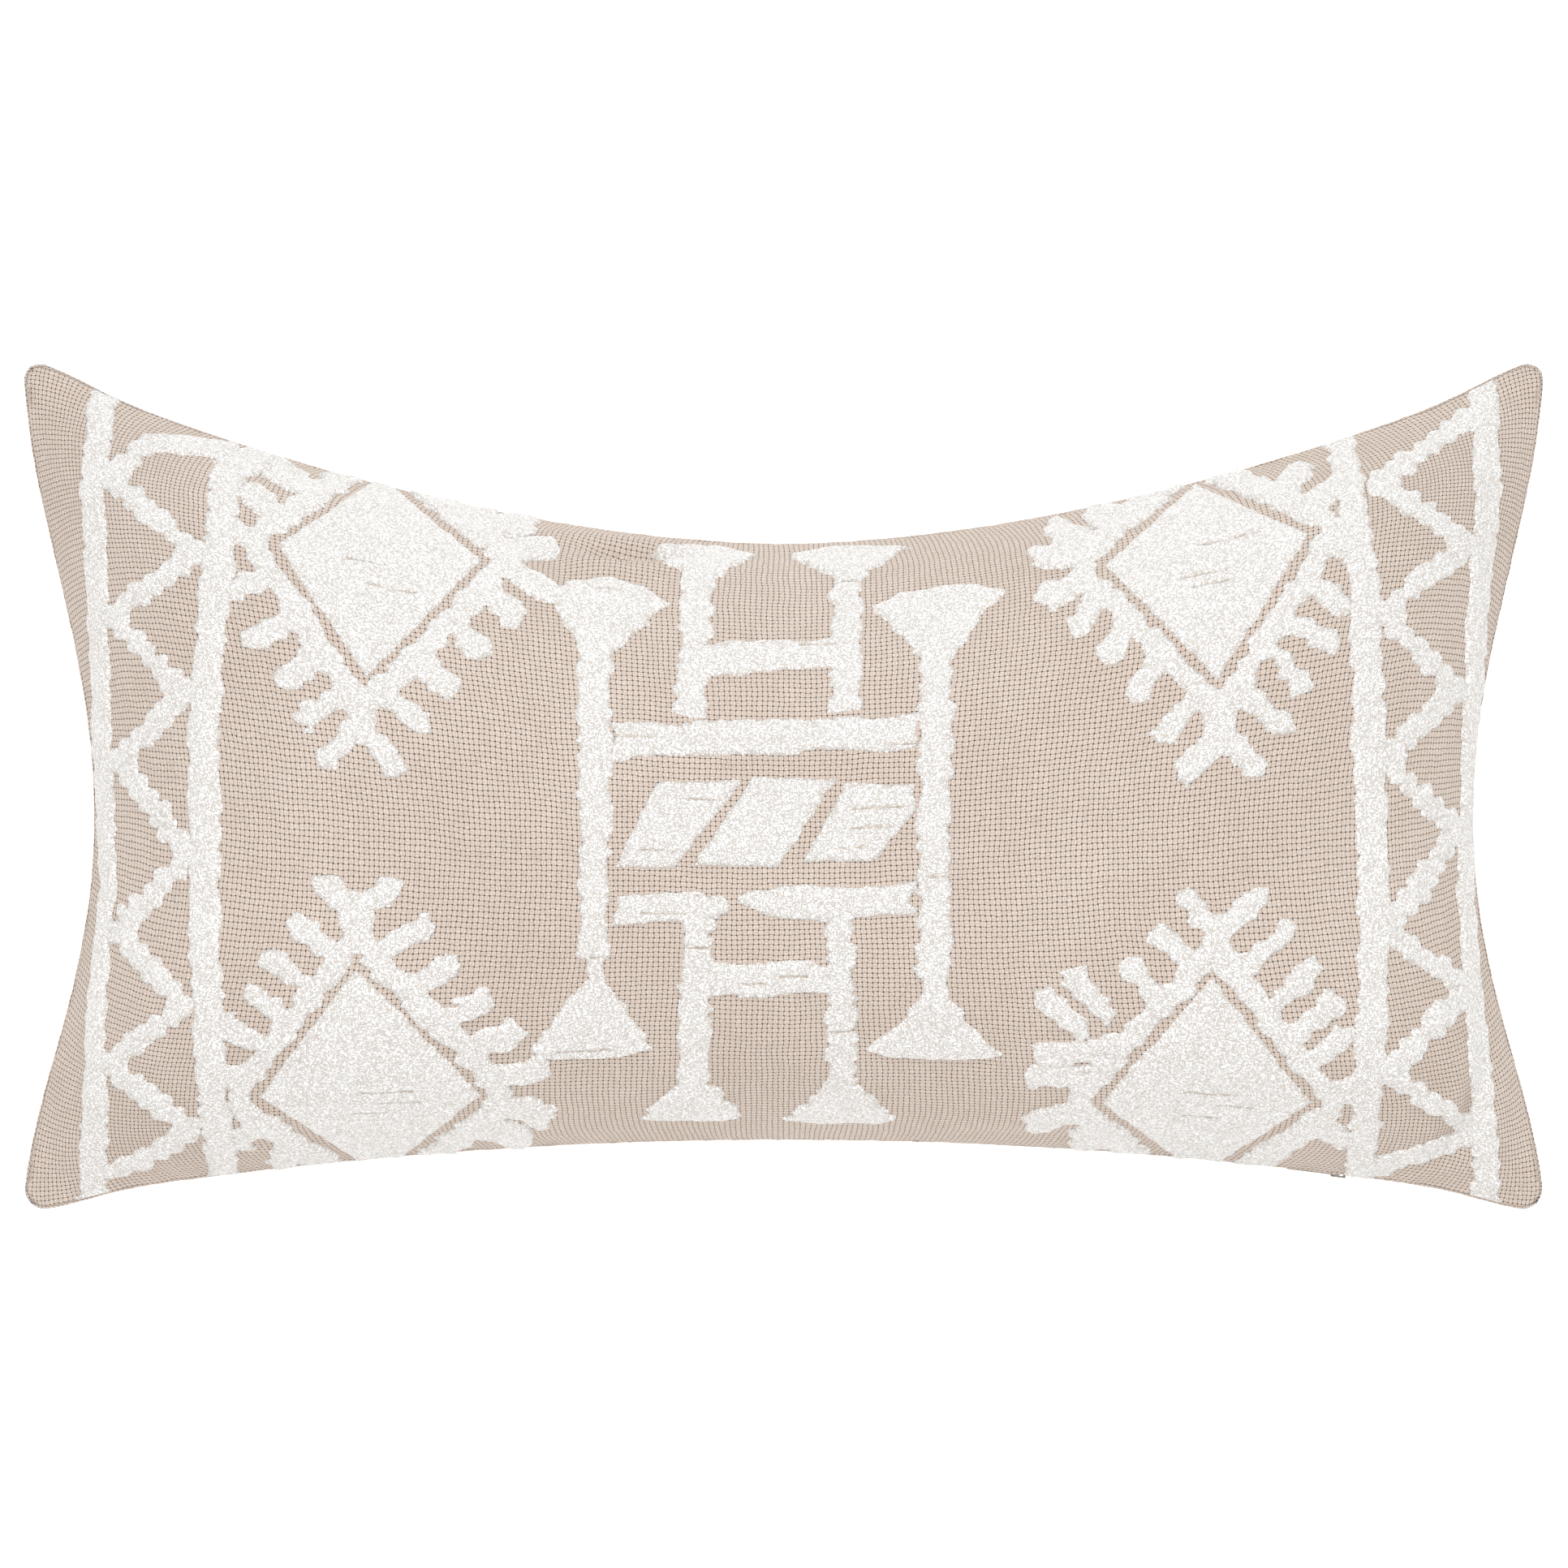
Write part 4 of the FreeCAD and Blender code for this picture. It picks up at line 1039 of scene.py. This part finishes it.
def stitched_rows(path, seed):
    """A slanting run as the stitcher makes it: short level rows, each stepped past the last."""
    draws = np.random.default_rng(seed)
    rows = []
    for (ua, va), (ub, vb) in zip(path, path[1:]):
        count = max(round(math.hypot(ub - ua, vb - va) / (1.45 * ROW)), 2)
        for share in (np.arange(count) + 0.5) / count:
            reach = 0.42 * abs(ub - ua) / count + draws.uniform(0.6, 2.0)
            u = ua + share * (ub - ua) + draws.uniform(-0.7, 0.7)
            v = va + share * (vb - va) + draws.uniform(-0.4, 0.4)
            lean = 0.10 * math.copysign(reach, (ub - ua) * (vb - va))
            half = ROW_HALF + draws.uniform(-0.3, 0.5)
            rows.append(([(u - reach, v - lean), (u + reach, v + lean)], (half, half)))
        rows.append(([(ua, va), (ub, vb)], (THREAD_HALF, THREAD_HALF)))
    return rows


seed = 100
for hand, runs in BORDERS.items():
    for run, path in runs.items():
        seed += 10
        if run == "zigzag":
            strokes, edge = stitched_rows(path, seed), "fine"
        else:
            strokes, edge = [(path, BAR_HALVES[run])], "bar"
        embroidered(
            f"embroidery_{hand}_{run}", lambda x, y: joined(*[stroke(x, y, *each) for each in strokes]),
            path, 12, edge, seed)
for corner, parts in CORNERS.items():
    seed += 10
    embroidered(
        f"embroidery_{corner}_diamond", lambda x, y: polygon(x, y, parts["channel"]) + CHANNEL_HALF,
        parts["channel"], 4, "smooth", seed, CORNER_SLITS[corner])
    seed += 10
    reach = [end for leaf in parts["leaflets"] for end in (leaf[:2], leaf[2:])]
    embroidered(f"embroidery_{corner}_leaves", leafy_frame(**parts), reach, 12, "leaf", seed)
for run, (edge, outlines) in CENTRE_RUNS.items():
    seed += 10
    embroidered(
        f"embroidery_centre_{run}", lambda x, y: joined(*[polygon(x, y, o) for o in outlines]),
        sum(outlines, []), 5, edge, seed, RUN_SLITS[run])


# ---- the zip and other sewn parts

def seam_arc(length, depth, height):
    """A point by its length along the bottom seam, depth inside it and height from the seam plane."""
    angle = length / SEAM_RADIUS
    radius = SEAM_RADIUS + depth
    return xyz(radius * np.sin(angle), SEAM_CENTRE_Y + radius * np.cos(angle), height)


# The tape's bend from the teeth to its edge, as (depth, height), and its ribs
TAPE_LINE = (
    (3.7, 0.5), (3.7, 1.5), (3.7, 2.6), (3.7, 3.8), (3.75, 5.0), (4.3, 6.2), (5.6, 8.0), (7.2, 10.1),
    (8.6, 12.1), (9.5, 13.0))
TAPE_THICKNESS, TAPE_RIB = 0.5, 0.04
STOP_LENGTH = 1.6
COIL_DEPTH, COIL_HEIGHT, COIL_TURN = 3.0, 1.22, (0.38, 0.62)
COIL_LEAN, COIL_RADIUS, COIL_STEPS = 0.22, 0.3, 14


def tape(side, name, node):
    """Woven tape with a ribbed edge beside the teeth."""
    section = [(d, side * h) for d, h in TAPE_LINE]
    behind = reversed(list(enumerate(TAPE_LINE)))
    section += [(d + TAPE_THICKNESS + TAPE_RIB * (k % 2), side * h) for k, (d, h) in behind]
    along = np.linspace(-TAPE_HALF_LENGTH - TAPE_TUCK, TAPE_HALF_LENGTH + TAPE_TUCK, 341)
    wide = len(section)
    points = np.stack([seam_arc(along, d, h) for d, h in section], axis=1).reshape(-1, 3)
    tucked = smoothstep((np.abs(np.repeat(along, wide)) - TAPE_HALF_LENGTH) / TAPE_TUCK)
    points[:, 2] *= 1 - 0.8 * tucked
    across = np.array([abs(h) for _, h in section])
    cloth = xyz(np.repeat(along, wide), np.tile(across, len(along)))
    return piece(name, points, closed_bar(0, wide, len(along)), TAPE, "zipper_tape", node, cloth)


def closed_bar(first, wide, count):
    """Faces of a bar of as many rings as the count, with its two ends."""
    loops = [first + np.arange(wide) + wide * k for k in range(count)]
    return bands(loops).tolist() + [loops[0].tolist(), loops[-1].tolist()[::-1]]


TUBE_GUIDE = np.array([0.31, 0.86, 0.4])
TUBE_END = 0.55


def tube(strands, radius, wide, name, material, slot, node):
    """Round strands along lines of points."""
    points, faces, flats = [], [], []
    first = 0
    for strand in strands:
        count = len(strand)
        ahead = np.gradient(strand, axis=0)
        ahead /= np.linalg.norm(ahead, axis=1, keepdims=True) + 1e-9
        side_way = np.cross(ahead, TUBE_GUIDE)
        side_way /= np.linalg.norm(side_way, axis=1, keepdims=True) + 1e-9
        up_way = np.cross(side_way, ahead)
        turn = np.arange(wide) * 2 * math.pi / wide
        ends = np.ones(count)
        ends[[0, -1]] = TUBE_END
        ring = strand[:, None] + radius * ends[:, None, None] * (
            np.cos(turn)[None, :, None] * side_way[:, None] + np.sin(turn)[None, :, None] * up_way[:, None])
        faces += closed_bar(first, wide, count)
        first += wide * count
        points.append(ring.reshape(-1, 3))
        travel = np.concatenate([[0], np.cumsum(np.linalg.norm(np.diff(strand, axis=0), axis=1))])
        flats.append(xyz(np.repeat(travel, wide), np.tile(turn * radius, count)))
    return piece(name, np.concatenate(points), faces, material, slot, node, np.concatenate(flats))


def coil(side, name, node):
    """One continuous nylon coil: every turn is a tooth."""
    start, end = CHAIN_ENDS[0] + STOP_LENGTH, CHAIN_ENDS[1] - STOP_LENGTH
    turns = int((end - start) // TOOTH_PITCH) - 1
    phase = np.arange(turns * COIL_STEPS + 1) * 2 * math.pi / COIL_STEPS
    start += TOOTH_PITCH / 4 * (1 - side)
    line = seam_arc(
        start + TOOTH_PITCH * (phase / (2 * math.pi)) + COIL_LEAN * np.sin(2 * phase),
        COIL_DEPTH + COIL_TURN[0] * np.sin(phase), side * (COIL_HEIGHT - COIL_TURN[1] * np.cos(phase)))
    return tube([line], COIL_RADIUS, 7, name, COIL, "zipper_teeth", node)


for make, kind, form in ((tape, "tape", "woven"), (coil, "coil", "loops")):
    for side, hand in ((1, "front"), (-1, "back")):
        make(side, f"zip_{kind}_{hand}_{form}", f"zipper_{kind}_{hand}")


def rounded_metal(node, name, body, width):
    """The node's own metal shape with its edges rounded."""
    shell = bmesh.new()
    shell.from_mesh(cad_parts[node].data)
    bmesh.ops.remove_doubles(shell, verts=shell.verts[:], dist=1e-6)
    flat = math.radians(2)
    bmesh.ops.dissolve_limit(shell, angle_limit=flat, verts=shell.verts[:], edges=shell.edges[:])
    sharp = [e for e in shell.edges if len(e.link_faces) == 2 and e.calc_face_angle(0) > math.radians(28)]
    bmesh.ops.bevel(
        shell, geom=sharp, offset=width, segments=3, profile=0.5, affect="EDGES", clamp_overlap=True)
    bmesh.ops.recalc_face_normals(shell, faces=shell.faces[:])
    mesh = bpy.data.meshes.new(name)
    shell.to_mesh(mesh)
    shell.free()
    thing = shown(name, mesh, METAL, node, body)
    thing.modifiers.new("even", "WEIGHTED_NORMAL").keep_sharp = True


rounded_metal("zipper_slider_body", "zip_slider_cast", "slider", 0.00012)
rounded_metal("zipper_pull_tab", "zip_pull_cast", "pull", 0.00014)
rounded_metal("zipper_top_stops", "zip_top_stops_cast", "pillow", 0.00018)
rounded_metal("zipper_bottom_stop", "zip_bottom_stop_cast", "pillow", 0.00018)


STITCH_INSET, STITCH_LENGTH, STITCH_GAP = 2.7, 3.2, 0.25
STITCH_HEIGHT, STITCH_ARCH = 1.25, 0.3


def seam_stitches():
    """Lockstitches through both hems, all round the seam except at the zip."""
    corners = [(-1, -1), (1, -1), (1, 1), (-1, 1)]
    strands = []
    for (s0, t0), (s1, t1) in zip(corners, corners[1:] + corners[:1]):
        share = np.linspace(0.02, 0.98, 4001)
        x, y = plan(s0 + (s1 - s0) * share, t0 + (t1 - t0) * share, STITCH_INSET)
        travel = np.concatenate([[0], np.cumsum(np.hypot(np.diff(x), np.diff(y)))])
        marks = np.linspace(0, travel[-1], int(travel[-1] // STITCH_LENGTH) + 1)
        for a, b in zip(marks, marks[1:]):
            along = np.linspace(a + STITCH_GAP, b - STITCH_GAP, 7)
            px, py = np.interp(along, travel, x), np.interp(along, travel, y)
            arc = np.abs(SEAM_RADIUS * np.arcsin(px / SEAM_RADIUS)).min()
            if t0 < 0 and t1 < 0 and arc < SLOT_HALF_LENGTH + 5:
                continue
            arch = STITCH_HEIGHT + STITCH_ARCH * np.sin(np.linspace(0, math.pi, 7))
            strands += [xyz(px, py, hand * arch) for hand in (1, -1)]
    return tube(strands, 0.24, 6, "seam_stitches", THREAD, "sewing_thread", "cover_seam_thread")


seam_stitches()


def label():
    """A blank satin label, sewn into the right-hand seam."""
    t, depth = np.meshgrid(np.linspace(-19.5, 19.5, 53) / HALF_WIDTH, np.linspace(2.8, 11.2, 13))
    x, y = plan(np.ones_like(t), t, depth)
    lift = 1.42 + 0.05 * noise(y, depth, 6.0, 77)
    points, faces = two_skins(xyz(x, y, lift + 0.12), xyz(x, y, lift - 0.1))
    cloth = np.concatenate([xyz(y, depth).reshape(-1, 3)] * 2)
    return piece("care_label_satin", points, faces, LABEL, "label_cloth", "cover_care_label", cloth)


label()


# ---- the insert

def inner_grid(side, inset, drop, cells, rough):
    """A layer under the cover: the cover's surface drawn in from the seam and from above."""
    u, v = np.meshgrid(np.linspace(-1, 1, cells[0] + 1), np.linspace(-1, 1, cells[1] + 1))
    flat_u, flat_v = u * FLAT_HALF_LENGTH, v * FLAT_HALF_WIDTH
    point, normal = side.spline(flat_u, flat_v)
    s, t = stations(u, v)
    point[..., 0] -= inset * s
    point[..., 1] -= inset * t
    lean = (START_CROWN - drop) / START_CROWN
    point[..., 2] *= lean
    lumps = 1 + noise(flat_u, flat_v, 24.0, int(inset * 7) + side.hand)
    point -= normal * (rough * lumps * (1 - t ** 6) * (1 - s ** 6))[..., None]
    if side.hand < 0:
        floor_depth = SEAM_Z - drop
        point[..., 2] = floored(point[..., 2] + floor_depth, FLOOR_ROUNDING) - floor_depth
    point[[0, -1], :, 2] = 0
    point[:, [0, -1], 2] = 0
    return point, normal, xyz(flat_u, flat_v)


def insert_panel(side, name, node):
    """One cotton panel of the insert."""
    point, normal, flat = inner_grid(side, 15.5, 3.2, (150, 82), 0.5)
    depth = np.minimum(0.45, 0.4 * np.abs(point[..., 2]) + 0.02)
    under = point - normal * depth[..., None]
    under[..., 2] = np.where(np.abs(point[..., 2]) < 0.5, side.hand * 0.02, under[..., 2])
    points, faces = two_skins(point, under)
    cloth = np.concatenate([flat.reshape(-1, 3)] * 2)
    return piece(name, points, faces, INSERT, "insert_cloth", node, cloth)


def filling():
    """The insert's fibre filling, one soft block."""
    (front, _, flat), (back, _, _) = (
        inner_grid(side, 17.0, 5.0, (110, 60), 1.6) for side in (FRONT, BACK))
    front_ids, back_ids, inside = sewn_grids(front.shape[:2])
    points = np.concatenate([front.reshape(-1, 3), back[inside]])
    cloth = np.concatenate([flat.reshape(-1, 3), flat[inside]])
    faces = sewn_faces(front_ids, back_ids)
    return piece("fibre_filling", points, faces, FILL, "fibre_fill", "insert_filling", cloth)


insert_panel(FRONT, "insert_front_cotton", "insert_front_panel")
insert_panel(BACK, "insert_back_cotton", "insert_back_panel")
filling()


# ---- floor, light and camera

def floor_material():
    """A white light table: the glow from below keeps shadows off it, as in a catalogue picture."""
    n = Nodes("pale_floor")
    grain = n.noise(n.local(), 3.0)
    n.shader.inputs["Emission Color"].default_value = (1.0, 1.0, 1.0, 1)
    n.shader.inputs["Emission Strength"].default_value = 0.40
    return n.finish(n.mix(grain, (0.93, 0.93, 0.93, 1), (0.95, 0.95, 0.95, 1)), 0.9)


bpy.ops.mesh.primitive_plane_add(size=12, location=(0, 0, -0.0006))
floor = bpy.context.object
floor.name = "floor"
floor.data.materials.append(floor_material())

world = bpy.data.worlds.new("soft_room")
bpy.context.scene.world = world
world.use_nodes = True
background = world.node_tree.nodes["Background"]
background.inputs["Color"].default_value = (1.0, 1.0, 1.0, 1)
background.inputs["Strength"].default_value = 0.66

LAMP_TARGET = (0, 0, 0.1)


def softbox(name, place, size, power, colour):
    """A rectangular lamp aimed at the pillow."""
    data = bpy.data.lights.new(name, "AREA")
    data.shape = "RECTANGLE"
    data.size, data.size_y = size
    data.energy = power
    data.color = colour
    lamp = bpy.data.objects.new(name, data)
    bpy.context.scene.collection.objects.link(lamp)
    lamp.location = place
    way = np.array(LAMP_TARGET) - np.array(place)
    tilt = math.atan2(math.hypot(way[0], way[1]), -way[2])
    lamp.rotation_euler = (tilt, 0, math.atan2(way[0], -way[1]) + math.pi)


softbox("key_softbox", (0.0, 1.5, 2.6), (3.0, 2.0), 39.0, (0.95, 0.98, 1.0))
softbox("fill_softbox", (0.0, -1.4, 2.8), (3.4, 2.0), 28.0, (1.0, 0.98, 0.96))

camera_data = bpy.data.cameras.new("camera")
camera_data.sensor_width = 36.0
camera_data.lens = 200.0
camera = bpy.data.objects.new("camera", camera_data)
bpy.context.scene.collection.objects.link(camera)
FRAME_WIDTH = 0.6598
camera.location = (0.00015, 0.0, SEAM_Z / 1000 + FRAME_WIDTH * camera_data.lens / camera_data.sensor_width)
camera_data.clip_end = 50.0
bpy.context.scene.camera = camera
bpy.context.scene.view_settings.view_transform = "Standard"

bpy.context.view_layer.update()
